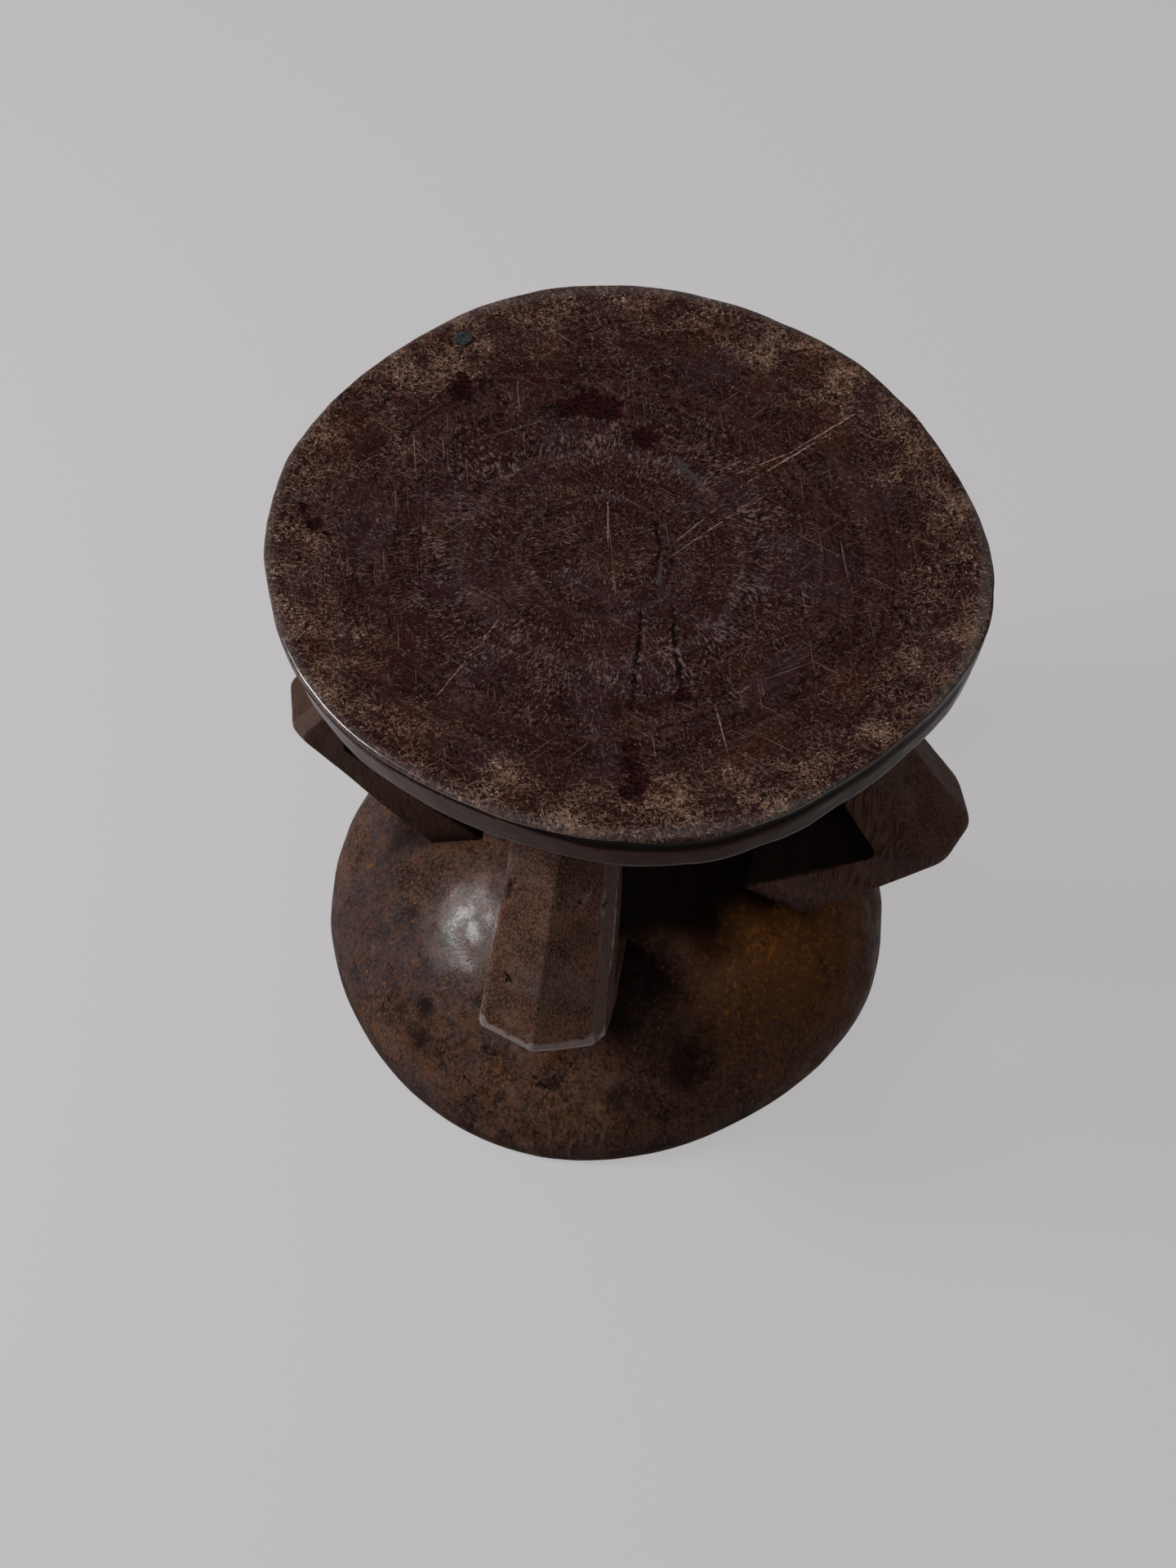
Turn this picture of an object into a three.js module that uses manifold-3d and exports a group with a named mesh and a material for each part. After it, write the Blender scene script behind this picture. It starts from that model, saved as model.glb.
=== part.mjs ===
// A carved wooden stool: a round dished seat on four bent, keeled legs that stand on a domed base.
// Such a stool is cut from one block of wood. Here it is taken apart where the carver's tool changes
// direction: seat, four legs and base, with the dark plug that is let into the seat near its edge.
import * as THREE from "three";
import { mergeVertices } from "three/addons/utils/BufferGeometryUtils.js";
import Module from "manifold-3d";

const wasm = await Module();
wasm.setup();

// Sizes are in millimetres and degrees. Z is up, the floor is Z = 0, and the front leg points to -Y.
const FIT_GAP = 0.3; // left between two pieces that meet

const SEAT_HEIGHT = 287; // floor to the top of the rim
const SEAT_RADIUS = 149.2; // mean radius of the hand-cut outline
const SEAT_ASIDE = { x: -0.4, y: 2.6 }; // the seat's middle, seen from the middle of the base
const SEAT_DISH = 10; // how far the middle lies below the rim
const RIM_LAND = 3; // flat left on top of the rim before the dish begins
const RIM_ROUND = 2; // radius of the worn upper edge
const LIP_HEIGHT = 3.2; // top of the rim to the groove
const GROOVE_DEPTH = 1.2; // groove that runs round under the lip
const GROOVE_HEIGHT = 1.6;
const RIM_HEIGHT = 15; // top of the rim to where the underside starts to curve in
const RIM_TAPER = 1.7; // how much smaller the mean radius is at the foot of the rim
const BOWL_DEPTH = 23; // how far the underside hangs below the rim

const PLUG_RADIUS = 4.5;
const PLUG_LENGTH = 7;
const PLUG_FROM_EDGE = 12.9; // from the mean outline in to the plug's middle
const PLUG_DIRECTION = 132.6; // seen from the seat's middle, counted from +X towards +Y
const PLUG_CROWN = 0.5; // height of its domed head

const BASE_RADIUS = 139.7; // mean radius of the foot
const BASE_CROWN = 101; // floor to the top of the dome
const CROWN_ASIDE = 5.5; // the top of the dome lies this far towards +X
const BASE_FULLNESS = 1.9; // 2 is a plain ellipse, less gives leaner shoulders
const FOOT_ROUND = 5; // radius of the worn edge at the floor
const FOOT_RING = 30; // width of the flat ring that stands on the floor
const HOLLOW_DEPTH = 22; // hollow under the dome

const KNEE_REACH = 163; // from the stool's axis to the ridge at the knee
const KNEE_HEIGHT = 139; // floor to the ridge at the knee
const KNEE_DEPTH = 40; // inner corner to ridge at the knee
const KNEE_ROUND = 5; // radius of the outer edge round the knee
const NOTCH_ROUND = 6; // radius in the inner corner
const UPPER_RIDGE_ANGLE = 54; // the angles are measured from the floor
const UPPER_INNER_ANGLE = 60;
const LOWER_RIDGE_ANGLE = 48;
const LOWER_INNER_ANGLE = 39;
const TOP_WIDTH = 38; // width of a leg inside the seat, where its taper would end
const KNEE_WIDTH = 55;
const FOOT_WIDTH = 48; // width of a leg deep in the base, where its taper would end
const KEEL_HEIGHT = 10; // the ridge above the leg's two outer edges
const EDGE_CHAMFER = 5; // on the two outer edges
const INNER_CHAMFER = 1.5; // on the two inner edges

// Each leg is cut by eye, so it has its own factors for the sizes above. aside is how far the leg lies
// to the left, seen from the axis, and ridgeAside how far the ridge does at the knee, both as shares
// of the knee's width.
const LEGS = [
  {
    name: "leg_front",
    direction: -88.5,
    reach: 0.994,
    kneeHeight: 0.994,
    kneeDepth: 1,
    aside: -0.12,
    ridgeAside: -0.05,
    leftChamfer: 1,
    rightChamfer: 0.3,
  },
  {
    name: "leg_right",
    direction: -0.5,
    reach: 1.042,
    kneeHeight: 0.97,
    kneeDepth: 1.1,
    aside: 0.027,
    ridgeAside: -0.027,
    leftChamfer: 1,
    rightChamfer: 1,
  },
  {
    name: "leg_back",
    direction: 90,
    reach: 0.995,
    kneeHeight: 1,
    kneeDepth: 1,
    aside: 0.02,
    ridgeAside: 0.02,
    leftChamfer: 1,
    rightChamfer: 1,
  },
  {
    name: "leg_left",
    direction: 178,
    reach: 0.967,
    kneeHeight: 1.03,
    kneeDepth: 0.91,
    aside: 0.03,
    ridgeAside: -0.02,
    leftChamfer: 1,
    rightChamfer: 1,
  },
];

// The outlines are not true circles. Each wave has a number of lobes, a height and the direction of
// one of its lobes.
const SEAT_WAVES = [
  { lobes: 2, height: 1.05, towards: 111 },
  { lobes: 3, height: 1.25, towards: -11 },
  { lobes: 4, height: 1.6, towards: 10 },
  { lobes: 5, height: 0.7, towards: -1 },
  { lobes: 6, height: 1.05, towards: -6 },
];
// How much further out than its lip the foot of the rim lies, over its mean taper.
const RIM_FOOT_WAVES = [
  { lobes: 1, height: 2, towards: -50 },
  { lobes: 2, height: 1, towards: -62 },
];
const BASE_WAVES = [
  { lobes: 2, height: 1.6, towards: 52 },
  { lobes: 3, height: 0.85, towards: 14 },
  { lobes: 4, height: 1.8, towards: -4 },
];

const TURN_STEPS = 72; // steps round the seat and the base
const CURVE_STEPS = 12; // steps along a long curve of a profile
const ARC_STEPS = 4; // steps round a small radius
const PLUG_STEPS = 24; // steps round the plug and its socket

const seatWood = new THREE.MeshStandardMaterial({ color: 0x3b2420, roughness: 0.45, metalness: 0 });
const legWood = new THREE.MeshStandardMaterial({ color: 0x46302a, roughness: 0.5, metalness: 0 });
const baseWood = new THREE.MeshStandardMaterial({ color: 0x4a2e20, roughness: 0.45, metalness: 0 });
const plugMetal = new THREE.MeshStandardMaterial({ color: 0x303236, roughness: 0.5, metalness: 0.6 });

const radians = THREE.MathUtils.degToRad;
const point = (x, y) => new THREE.Vector2(x, y);

// Solids

// A closed geometry as a solid that can be joined and cut.
function solid(geometry) {
  const plain = geometry.index ? geometry.toNonIndexed() : geometry;
  const bare = new THREE.BufferGeometry();
  bare.setAttribute("position", plain.getAttribute("position"));
  const merged = mergeVertices(bare);
  return new wasm.Manifold(
    new wasm.Mesh({
      numProp: 3,
      vertProperties: merged.attributes.position.array,
      triVerts: new Uint32Array(merged.index.array),
    }),
  );
}

function geometryOf(body) {
  const mesh = body.getMesh();
  const geometry = new THREE.BufferGeometry();
  geometry.setAttribute("position", new THREE.BufferAttribute(mesh.vertProperties, 3));
  geometry.setIndex(new THREE.BufferAttribute(mesh.triVerts, 1));
  geometry.computeVertexNormals();
  return geometry;
}

// A profile of (radius, height) points turned about Z. It runs from the axis below to the axis above.
function turned(profile) {
  return new THREE.LatheGeometry(profile, TURN_STEPS).rotateX(Math.PI / 2);
}

// Pushes a turned shape in and out by the waves, in full at the given radius and not at all at the
// axis. strength gives the share of the push at a height.
function outOfRound(geometry, waves, radius, strength = () => 1) {
  const places = geometry.getAttribute("position");
  for (let i = 0; i < places.count; i += 1) {
    const x = places.getX(i);
    const y = places.getY(i);
    const angle = Math.atan2(y, x);
    const share = (Math.hypot(x, y) / radius) ** 2 * strength(places.getZ(i));
    const push = waves.reduce(
      (sum, wave) => sum + wave.height * Math.cos(wave.lobes * (angle - radians(wave.towards))),
      0,
    );
    const factor = 1 + (share * push) / radius;
    places.setXY(i, x * factor, y * factor);
  }
  return geometry;
}

// Points of an arc of the given radius that rounds the corner of a path, from the side of `from`.
function roundedCorner(from, corner, to, radius) {
  const toFrom = from.clone().sub(corner).normalize();
  const toNext = to.clone().sub(corner).normalize();
  const half = Math.acos(toFrom.dot(toNext)) / 2;
  const centre = toFrom.clone().add(toNext).normalize().multiplyScalar(radius / Math.sin(half)).add(corner);
  const start = toFrom.multiplyScalar(radius / Math.tan(half)).add(corner).sub(centre);
  const end = toNext.multiplyScalar(radius / Math.tan(half)).add(corner).sub(centre);
  const sweep = Math.atan2(start.cross(end), start.dot(end));
  return Array.from({ length: ARC_STEPS + 1 }, (_, i) =>
    start.clone().rotateAround(point(0, 0), (sweep * i) / ARC_STEPS).add(centre),
  );
}

// Seat

const UNDERSIDE_RADIUS = SEAT_RADIUS - RIM_TAPER;
const UNDERSIDE_EDGE = SEAT_HEIGHT - RIM_HEIGHT;
const DISH_RADIUS = SEAT_RADIUS - RIM_ROUND - RIM_LAND;

function dishHeight(radius) {
  const share = radius / DISH_RADIUS;
  return SEAT_HEIGHT - SEAT_DISH * (1 - Math.min(share, 1) ** 2);
}

// The bowl under the seat, from the axis outwards, lowered by a clearance.
function undersideProfile(clearance) {
  return Array.from({ length: CURVE_STEPS + 1 }, (_, i) => {
    const angle = ((Math.PI / 2) * i) / CURVE_STEPS;
    const drop = BOWL_DEPTH * Math.cos(angle);
    return point(UNDERSIDE_RADIUS * Math.sin(angle), UNDERSIDE_EDGE - drop - clearance);
  });
}

function seatProfile() {
  const grooveTop = SEAT_HEIGHT - LIP_HEIGHT;
  const grooveFoot = grooveTop - GROOVE_HEIGHT;
  const rimFoot = point(UNDERSIDE_RADIUS, UNDERSIDE_EDGE);
  const rimTop = point(SEAT_RADIUS, SEAT_HEIGHT);
  const lipEdge = roundedCorner(point(SEAT_RADIUS, grooveTop), rimTop, point(0, SEAT_HEIGHT), RIM_ROUND);
  const dish = Array.from({ length: CURVE_STEPS + 1 }, (_, i) => {
    const radius = DISH_RADIUS * (1 - i / CURVE_STEPS);
    return point(radius, dishHeight(radius));
  });
  return [
    ...undersideProfile(0).slice(0, -1),
    rimFoot,
    point(SEAT_RADIUS, grooveFoot),
    point(SEAT_RADIUS - GROOVE_DEPTH, (grooveTop + grooveFoot) / 2),
    point(SEAT_RADIUS, grooveTop),
    ...lipEdge,
    ...dish,
  ];
}

// How far down the side of the rim a height lies: 0 at the lip and above, 1 at the foot and below.
function rimShare(height) {
  const share = (SEAT_HEIGHT - LIP_HEIGHT - height) / (RIM_HEIGHT - LIP_HEIGHT);
  return THREE.MathUtils.clamp(share, 0, 1);
}

// Turns a seat profile about the seat's own middle, with its hand-cut outlines at the lip and the foot.
function seatTurned(profile) {
  const cut = outOfRound(turned(profile), SEAT_WAVES, SEAT_RADIUS);
  return outOfRound(cut, RIM_FOOT_WAVES, SEAT_RADIUS, rimShare).translate(SEAT_ASIDE.x, SEAT_ASIDE.y, 0);
}

function plugPlace() {
  const out = SEAT_RADIUS - PLUG_FROM_EDGE;
  const angle = radians(PLUG_DIRECTION);
  const x = SEAT_ASIDE.x + out * Math.cos(angle);
  const y = SEAT_ASIDE.y + out * Math.sin(angle);
  return new THREE.Vector3(x, y, dishHeight(out));
}

function plugSocket() {
  const radius = PLUG_RADIUS + FIT_GAP;
  const above = SEAT_DISH; // the cutter stands clear of the surface
  const length = PLUG_LENGTH + FIT_GAP + above;
  const cutter = new THREE.CylinderGeometry(radius, radius, length, PLUG_STEPS).rotateX(Math.PI / 2);
  const place = plugPlace();
  return cutter.translate(place.x, place.y, place.z + above - length / 2);
}

function seatGeometry() {
  return geometryOf(solid(seatTurned(seatProfile())).subtract(solid(plugSocket())));
}

// Everything that a leg must stay out of above: the seat with the clearance under it, filled in.
function seatClearance() {
  const above = SEAT_HEIGHT + SEAT_RADIUS;
  const wide = point(UNDERSIDE_RADIUS, above);
  const profile = [...undersideProfile(FIT_GAP), wide, point(0, above)];
  return seatTurned(profile);
}

// Plug

function plugGeometry() {
  const crown = Array.from({ length: ARC_STEPS + 1 }, (_, i) => {
    const angle = ((Math.PI / 2) * i) / ARC_STEPS;
    return point(PLUG_RADIUS * Math.cos(angle), PLUG_CROWN * Math.sin(angle));
  });
  const profile = [point(0, -PLUG_LENGTH), point(PLUG_RADIUS, -PLUG_LENGTH), ...crown];
  profile[profile.length - 1].x = 0;
  return new THREE.LatheGeometry(profile, PLUG_STEPS).rotateX(Math.PI / 2);
}

// Base

// The outside of the dome from the foot's edge up to the axis, grown outwards by a clearance.
function domeProfile(clearance) {
  const radius = BASE_RADIUS + clearance;
  const rise = BASE_CROWN + clearance - FOOT_ROUND;
  return Array.from({ length: CURVE_STEPS + 1 }, (_, i) => {
    const angle = ((Math.PI / 2) * i) / CURVE_STEPS;
    const along = i === CURVE_STEPS ? 0 : Math.cos(angle) ** (2 / BASE_FULLNESS);
    return point(radius * along, FOOT_ROUND + rise * Math.sin(angle) ** (2 / BASE_FULLNESS));
  });
}

// Turns a base profile, with its hand-cut outline, and leans it so that the crown lies to one side.
function baseTurned(profile) {
  const lean = new THREE.Matrix4().makeShear(0, 0, 0, 0, CROWN_ASIDE / BASE_CROWN, 0);
  return outOfRound(turned(profile), BASE_WAVES, BASE_RADIUS).applyMatrix4(lean);
}

function baseGeometry() {
  const ringInside = BASE_RADIUS - FOOT_ROUND - FOOT_RING;
  const hollow = Array.from({ length: CURVE_STEPS + 1 }, (_, i) => {
    const radius = (ringInside * i) / CURVE_STEPS;
    return point(radius, HOLLOW_DEPTH * (1 - (radius / ringInside) ** 2));
  });
  const corner = point(BASE_RADIUS, 0);
  const footEdge = roundedCorner(point(0, 0), corner, point(BASE_RADIUS, BASE_CROWN), FOOT_ROUND);
  return baseTurned([...hollow, ...footEdge.slice(0, -1), ...domeProfile(0)]);
}

// Everything that a leg must stay out of below: the dome with the clearance over it, filled in.
function baseClearance() {
  return baseTurned([point(0, 0), point(BASE_RADIUS + FIT_GAP, 0), ...domeProfile(FIT_GAP)]);
}

// Legs

// The section across a leg, going round it: x is across the leg, y runs from its inner face out to
// the ridge. It has flat sides, a chamfer on each outer edge and two faces that meet at the ridge.
function legSection(leg, width, depth, ridge) {
  const side = width / 2;
  const shoulder = depth - KEEL_HEIGHT;
  const left = EDGE_CHAMFER * leg.leftChamfer;
  const right = EDGE_CHAMFER * leg.rightChamfer;
  return [
    point(INNER_CHAMFER - side, 0),
    point(side - INNER_CHAMFER, 0),
    point(side, INNER_CHAMFER),
    point(side, shoulder - left),
    point(side - left, shoulder + (KEEL_HEIGHT * left) / side),
    point(ridge, depth),
    point(right - side, shoulder + (KEEL_HEIGHT * right) / side),
    point(-side, shoulder - right),
    point(-side, INNER_CHAMFER),
  ];
}

// A skin through a row of sections with as many points each, closed by a flat fan at either end.
function loft(rings) {
  const count = rings[0].length;
  const indices = [];
  for (let row = 0; row < rings.length - 1; row += 1) {
    for (let i = 0; i < count; i += 1) {
      const next = (i + 1) % count;
      const near = row * count;
      const far = near + count;
      indices.push(near + i, near + next, far + i, near + next, far + next, far + i);
    }
  }
  const last = (rings.length - 1) * count;
  for (let i = 1; i < count - 1; i += 1) {
    indices.push(0, i + 1, i, last, last + i, last + i + 1);
  }
  const geometry = new THREE.BufferGeometry().setFromPoints(rings.flat());
  geometry.setIndex(indices);
  return geometry;
}

// Where a line through a corner, rising or falling inwards at an angle, reaches a height.
function limbEnd(corner, angle, height) {
  const inwards = Math.abs(height - corner.y) / Math.tan(radians(angle));
  return point(corner.x - inwards, height);
}

// A leg along +X: one long skin from inside the seat round the knee into the dome.
function legBlank(leg) {
  const knee = KNEE_HEIGHT * leg.kneeHeight;
  const ridge = point(KNEE_REACH * leg.reach, knee);
  const notch = point(ridge.x - KNEE_DEPTH * leg.kneeDepth, knee - NOTCH_ROUND / 2);
  const above = UNDERSIDE_EDGE;
  const below = FOOT_ROUND;
  const ridgeTop = limbEnd(ridge, UPPER_RIDGE_ANGLE, above);
  const ridgeFoot = limbEnd(ridge, LOWER_RIDGE_ANGLE, below);
  const innerTop = limbEnd(notch, UPPER_INNER_ANGLE, above);
  const innerFoot = limbEnd(notch, LOWER_INNER_ANGLE, below);
  const outer = [ridgeTop, ...roundedCorner(ridgeTop, ridge, ridgeFoot, KNEE_ROUND), ridgeFoot];
  const inner = [innerTop, ...roundedCorner(innerTop, notch, innerFoot, NOTCH_ROUND), innerFoot];
  const rings = outer.map((far, i) => {
    const near = inner[i];
    const outwards = far.clone().sub(near);
    const depth = outwards.length();
    outwards.normalize();
    const fromKnee = (near.y + far.y) / 2 - knee;
    const share = Math.abs(fromKnee) / (fromKnee > 0 ? above - knee : knee - below);
    const width = THREE.MathUtils.lerp(KNEE_WIDTH, fromKnee > 0 ? TOP_WIDTH : FOOT_WIDTH, share);
    const aside = KNEE_WIDTH * leg.aside;
    const ridgeAside = KNEE_WIDTH * leg.ridgeAside * (1 - share);
    return legSection(leg, width, depth, ridgeAside).map(
      (p) => new THREE.Vector3(near.x + outwards.x * p.y, p.x + aside, near.y + outwards.y * p.y),
    );
  });
  return loft(rings);
}

function legGeometry(leg) {
  const turn = radians(leg.direction);
  const blank = legBlank(leg).rotateZ(turn);
  return geometryOf(solid(blank).subtract(solid(seatClearance())).subtract(solid(baseClearance())));
}

// The stool

function piece(name, geometry, material) {
  const mesh = new THREE.Mesh(geometry, material);
  mesh.name = name;
  return mesh;
}

const stool = new THREE.Group();
stool.add(piece("seat", seatGeometry(), seatWood));
stool.add(piece("base", baseGeometry(), baseWood));
for (const leg of LEGS) {
  stool.add(piece(leg.name, legGeometry(leg), legWood));
}
const plug = piece("rim_plug", plugGeometry(), plugMetal);
plug.position.copy(plugPlace());
stool.add(plug);

// The frame's origin is on the floor under the middle of the box round the four knees.
const middle = new THREE.Box3().setFromObject(stool).getCenter(new THREE.Vector3());
stool.position.set(-middle.x, -middle.y, 0);

export default stool;
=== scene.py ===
"""A carved wooden stool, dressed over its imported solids.

The stool is cut from one dark block: a dished round seat on four bent, keeled legs that stand on a
domed base, with a small dark plug let into the seat. Each solid is replaced by a finer piece of the
same form, which has the marks of the tool and of long use in its mesh. The finishes are worked out
by shader nodes, which also read masks that the meshes keep for each point.

The scene is in metres in the frame of the solids: Z is up, the floor is Z = 0 and the front leg
points to -Y. The pieces and their finishes are worked out in millimetres from the stool's axis, and
a finished mesh is then put in its place.
"""

import logging
import math
from collections.abc import Callable, Iterable, Sequence
from dataclasses import dataclass, field
from enum import Enum

import bmesh
import bpy
import numpy as np
from mathutils import Matrix, Vector


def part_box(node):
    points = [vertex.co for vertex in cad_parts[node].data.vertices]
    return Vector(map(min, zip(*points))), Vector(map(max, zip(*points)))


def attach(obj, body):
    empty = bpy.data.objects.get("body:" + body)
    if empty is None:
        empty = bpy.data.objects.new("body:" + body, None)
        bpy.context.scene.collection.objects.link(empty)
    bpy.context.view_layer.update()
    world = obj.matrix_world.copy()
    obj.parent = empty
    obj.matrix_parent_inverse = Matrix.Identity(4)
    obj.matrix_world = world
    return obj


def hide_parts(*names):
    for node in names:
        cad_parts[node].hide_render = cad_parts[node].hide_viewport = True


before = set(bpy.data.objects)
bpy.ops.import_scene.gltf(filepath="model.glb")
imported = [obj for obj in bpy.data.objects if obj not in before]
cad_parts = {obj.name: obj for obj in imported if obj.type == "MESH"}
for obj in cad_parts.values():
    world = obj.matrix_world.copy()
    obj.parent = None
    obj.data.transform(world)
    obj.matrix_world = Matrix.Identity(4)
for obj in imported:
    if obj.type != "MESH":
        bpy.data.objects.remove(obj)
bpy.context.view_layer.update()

log = logging.getLogger("stool")

MM = 0.001
SAME_PLACE = 0.001
BODY = "root"

Colour = tuple[float, float, float, float]
Point = tuple[float, float, float]
Pair = tuple[float, float]
Shape = bmesh.types.BMesh


def screen(red: float, green: float, blue: float) -> Colour:
    """A colour as a screen shows it, from 0 to 255, as the linear values that a shader takes.

    Args:
        red: How red it is.
        green: How green it is.
        blue: How blue it is.

    Returns:
        The linear colour, with full cover.
    """
    shares = (red / 255, green / 255, blue / 255)
    linear = [s / 12.92 if s <= 0.04045 else ((s + 0.055) / 1.055) ** 2.4 for s in shares]
    return (linear[0], linear[1], linear[2], 1.0)


# Shapes in numbers


@dataclass(frozen=True)
class Wave:
    """One wave of a hand-cut outline: its lobes, its height and the direction of one lobe."""

    lobes: int
    height: float
    towards: float


@dataclass(frozen=True)
class Spot:
    """A round place on a surface: its middle, its radius, and its depth or its strength."""

    middle: Point
    radius: float
    strength: float


@dataclass(frozen=True)
class Line:
    """A straight mark from one point to another: its half width and its depth."""

    start: Point
    end: Point
    width: float
    depth: float = 0.0


# Marks, in millimetres from the stool's axis

SEAT_CRACKS = (
    Line((6.2, 31.5, 277.5), (13.4, 6.3, 277.2), 1.2, 0.7),
    Line((13.4, 8.0, 277.2), (14.2, -8.0, 277.2), 1.2, 0.6),
    Line((16.6, -9.0, 277.2), (18.6, -24.0, 277.4), 1.0, 0.5),
    Line((11.7, -26.0, 277.5), (14.7, -50.0, 278.4), 1.5, 0.7),
    Line((14.1, -47.0, 278.3), (17.8, -80.4, 280.3), 1.8, 0.9),
    Line((23.0, -19.1, 277.5), (29.4, -47.0, 278.4), 1.4, 0.6),
    Line((28.8, -45.0, 278.3), (36.2, -67.8, 279.9), 1.8, 0.8),
    Line((120.2, 10.2, 284.0), (131.0, 17.2, 285.6), 1.5, 0.5),
    Line((130.0, 16.8, 285.4), (142.3, 20.1, 286.8), 1.2, 0.5),
    Line((110.2, -4.4, 282.8), (121.0, -18.6, 284.1), 1.5, 0.5),
    Line((22.0, -104.0, 282.8), (31.3, -129.1, 285.6), 1.7, 0.7),
)
SEAT_FILLED = (
    Line((14.0, 4.0, 277.1), (18.2, -24.0, 277.4), 2.0),
    Line((9.5, 60.0, 278.8), (24.5, 46.0, 278.4), 3.0),
)
SEAT_SCRATCHES = (
    Line((16.0, 8.0, 277.3), (42.0, 50.0, 279.0), 0.6),
    Line((18.0, 4.0, 277.3), (47.0, 42.0, 278.7), 0.45),
    Line((40.0, 48.0, 279.0), (78.0, 88.0, 282.9), 0.7),
    Line((36.0, 54.0, 279.0), (66.0, 76.0, 281.4), 0.5),
    Line((58.0, 70.0, 280.8), (92.0, 106.0, 285.6), 0.6),
    Line((-16.0, 44.0, 278.0), (-8.0, 4.0, 277.2), 0.5),
    Line((-118.0, 20.0, 284.0), (-86.0, 92.0, 284.2), 0.5),
    Line((-60.0, -96.0, 282.8), (-42.0, -40.0, 278.9), 0.5),
    Line((58.0, -96.0, 283.0), (40.0, -46.0, 279.0), 0.5),
    Line((-36.0, 112.0, 283.6), (14.0, 100.0, 281.9), 0.6),
)
SEAT_GOUGES = (
    Spot((-95.0, 92.0, 285.4), 4.0, 0.4),
    Spot((-88.0, 84.0, 284.0), 4.5, 0.5),
    Spot((-78.0, 82.0, 283.2), 4.0, 0.4),
    Spot((-86.4, 73.8, 283.0), 6.5, 0.95),
    Spot((-44.0, 92.0, 281.6), 4.0, 0.4),
    Spot((17.0, -78.0, 280.2), 4.0, 0.5),
    Spot((24.0, -124.0, 285.0), 5.0, 0.7),
    Spot((-66.5, 73.7, 281.6), 4.0, 0.5),
    Spot((-41.5, 75.4, 280.4), 6.0, 0.7),
    Spot((-32.0, 82.5, 280.7), 7.5, 0.9),
    Spot((-22.5, 80.0, 280.2), 7.0, 1.0),
    Spot((-3.9, 67.6, 279.1), 5.5, 1.2),
    Spot((26.8, -116.1, 283.8), 5.0, 1.0),
    Spot((22.1, -107.7, 282.8), 5.0, 0.8),
    Spot((20.5, -98.0, 282.0), 5.5, 0.6),
    Spot((36.2, -67.8, 279.9), 4.0, 1.1),
    Spot((-134.4, -8.0, 285.2), 3.5, 0.6),
    Spot((-127.9, -16.1, 285.0), 4.5, 0.8),
    Spot((-121.4, -20.9, 284.4), 3.0, 0.5),
)
# Where the seat is lighter and darker than elsewhere.
SEAT_WORN = (
    Spot((45.0, 80.0, 281.0), 16, 0.3),
    Spot((77.0, 98.0, 284.6), 17, 0.45),
    Spot((-105.0, 82.0, 285.3), 18, 0.4),
    Spot((-134.0, -37.0, 286.4), 15, 0.3),
    Spot((-110.0, -38.0, 283.6), 12, 0.25),
    Spot((-129.0, -58.0, 286.9), 14, 0.3),
    Spot((10.0, -135.0, 286.2), 22, 0.4),
    Spot((55.0, -124.0, 286.1), 20, 0.35),
    Spot((32.0, -88.0, 281.0), 12, 0.2),
    Spot((90.0, -84.0, 284.8), 20, 0.35),
    Spot((129.0, -10.0, 285.0), 18, 0.25),
    Spot((-33.0, 125.0, 284.5), 20, 0.3),
    Spot((40.0, 125.0, 285.2), 18, 0.2),
    Spot((-8.0, 2.0, 277.1), 18, 0.12),
)
SEAT_DARK = (
    Spot((-90.0, -50.0, 282.1), 20, -0.9),
    Spot((-76.0, -91.0, 283.8), 16, -0.8),
    Spot((-25.0, 84.0, 280.5), 20, -0.9),
    Spot((57.0, 39.0, 279.4), 18, -0.7),
    Spot((-18.0, -102.0, 282.4), 18, -0.6),
    Spot((70.0, 20.0, 279.8), 22, 0.8),
    Spot((-45.0, -95.0, 282.0), 20, 0.7),
)
BASE_STREAKS = (
    Spot((8.0, -134.0, 29.0), 20, 1.0),
    Spot((-30.0, -122.0, 52.0), 16, 0.5),
    Spot((24.0, -128.0, 24.0), 14, 0.6),
)
BASE_POLISHED = (
    Spot((-50.0, -70.0, 80.0), 31, 1.0),
    Spot((-62.0, 66.0, 80.0), 36, 0.5),
    Spot((66.0, 62.0, 80.0), 36, 0.5),
)
LEG_CRACKS = (
    Line((8.4, -112.8, 199.6), (6.0, -116.8, 195.1), 2.4, 0.9),
    Line((6.4, -116.2, 195.8), (4.8, -120.0, 191.0), 1.8, 0.9),
    Line((17.6, -112.0, 191.6), (15.4, -116.2, 189.8), 1.2, 0.5),
    Line((-22.4, -138.2, 161.8), (-17.4, -141.3, 159.8), 1.5, 0.5),
    Line((-20.8, -141.4, 158.4), (-17.8, -139.4, 163.0), 1.1, 0.4),
    Line((-24.6, -112.8, 194.6), (-25.2, -119.0, 186.0), 2.2, 0.6),
)
BASE_CRACKS = (
    Line((-1.6, -116.3, 56.5), (12.6, -120.3, 51.9), 1.9, 0.5),
    Line((-12.4, -124.2, 47.4), (-0.6, -127.4, 44.2), 2.4, 0.5),
    Line((-48.4, -121.8, 37.6), (-36.0, -130.0, 32.0), 1.0, 0.3),
    Line((-36.2, -129.8, 32.6), (-46.4, -132.6, 17.6), 1.0, 0.3),
    Line((34.6, -67.0, 84.5), (33.0, -85.0, 75.8), 2.4, 0.5),
    Line((45.0, -88.0, 67.0), (38.0, -102.0, 58.0), 1.6, 0.4),
)
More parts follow.
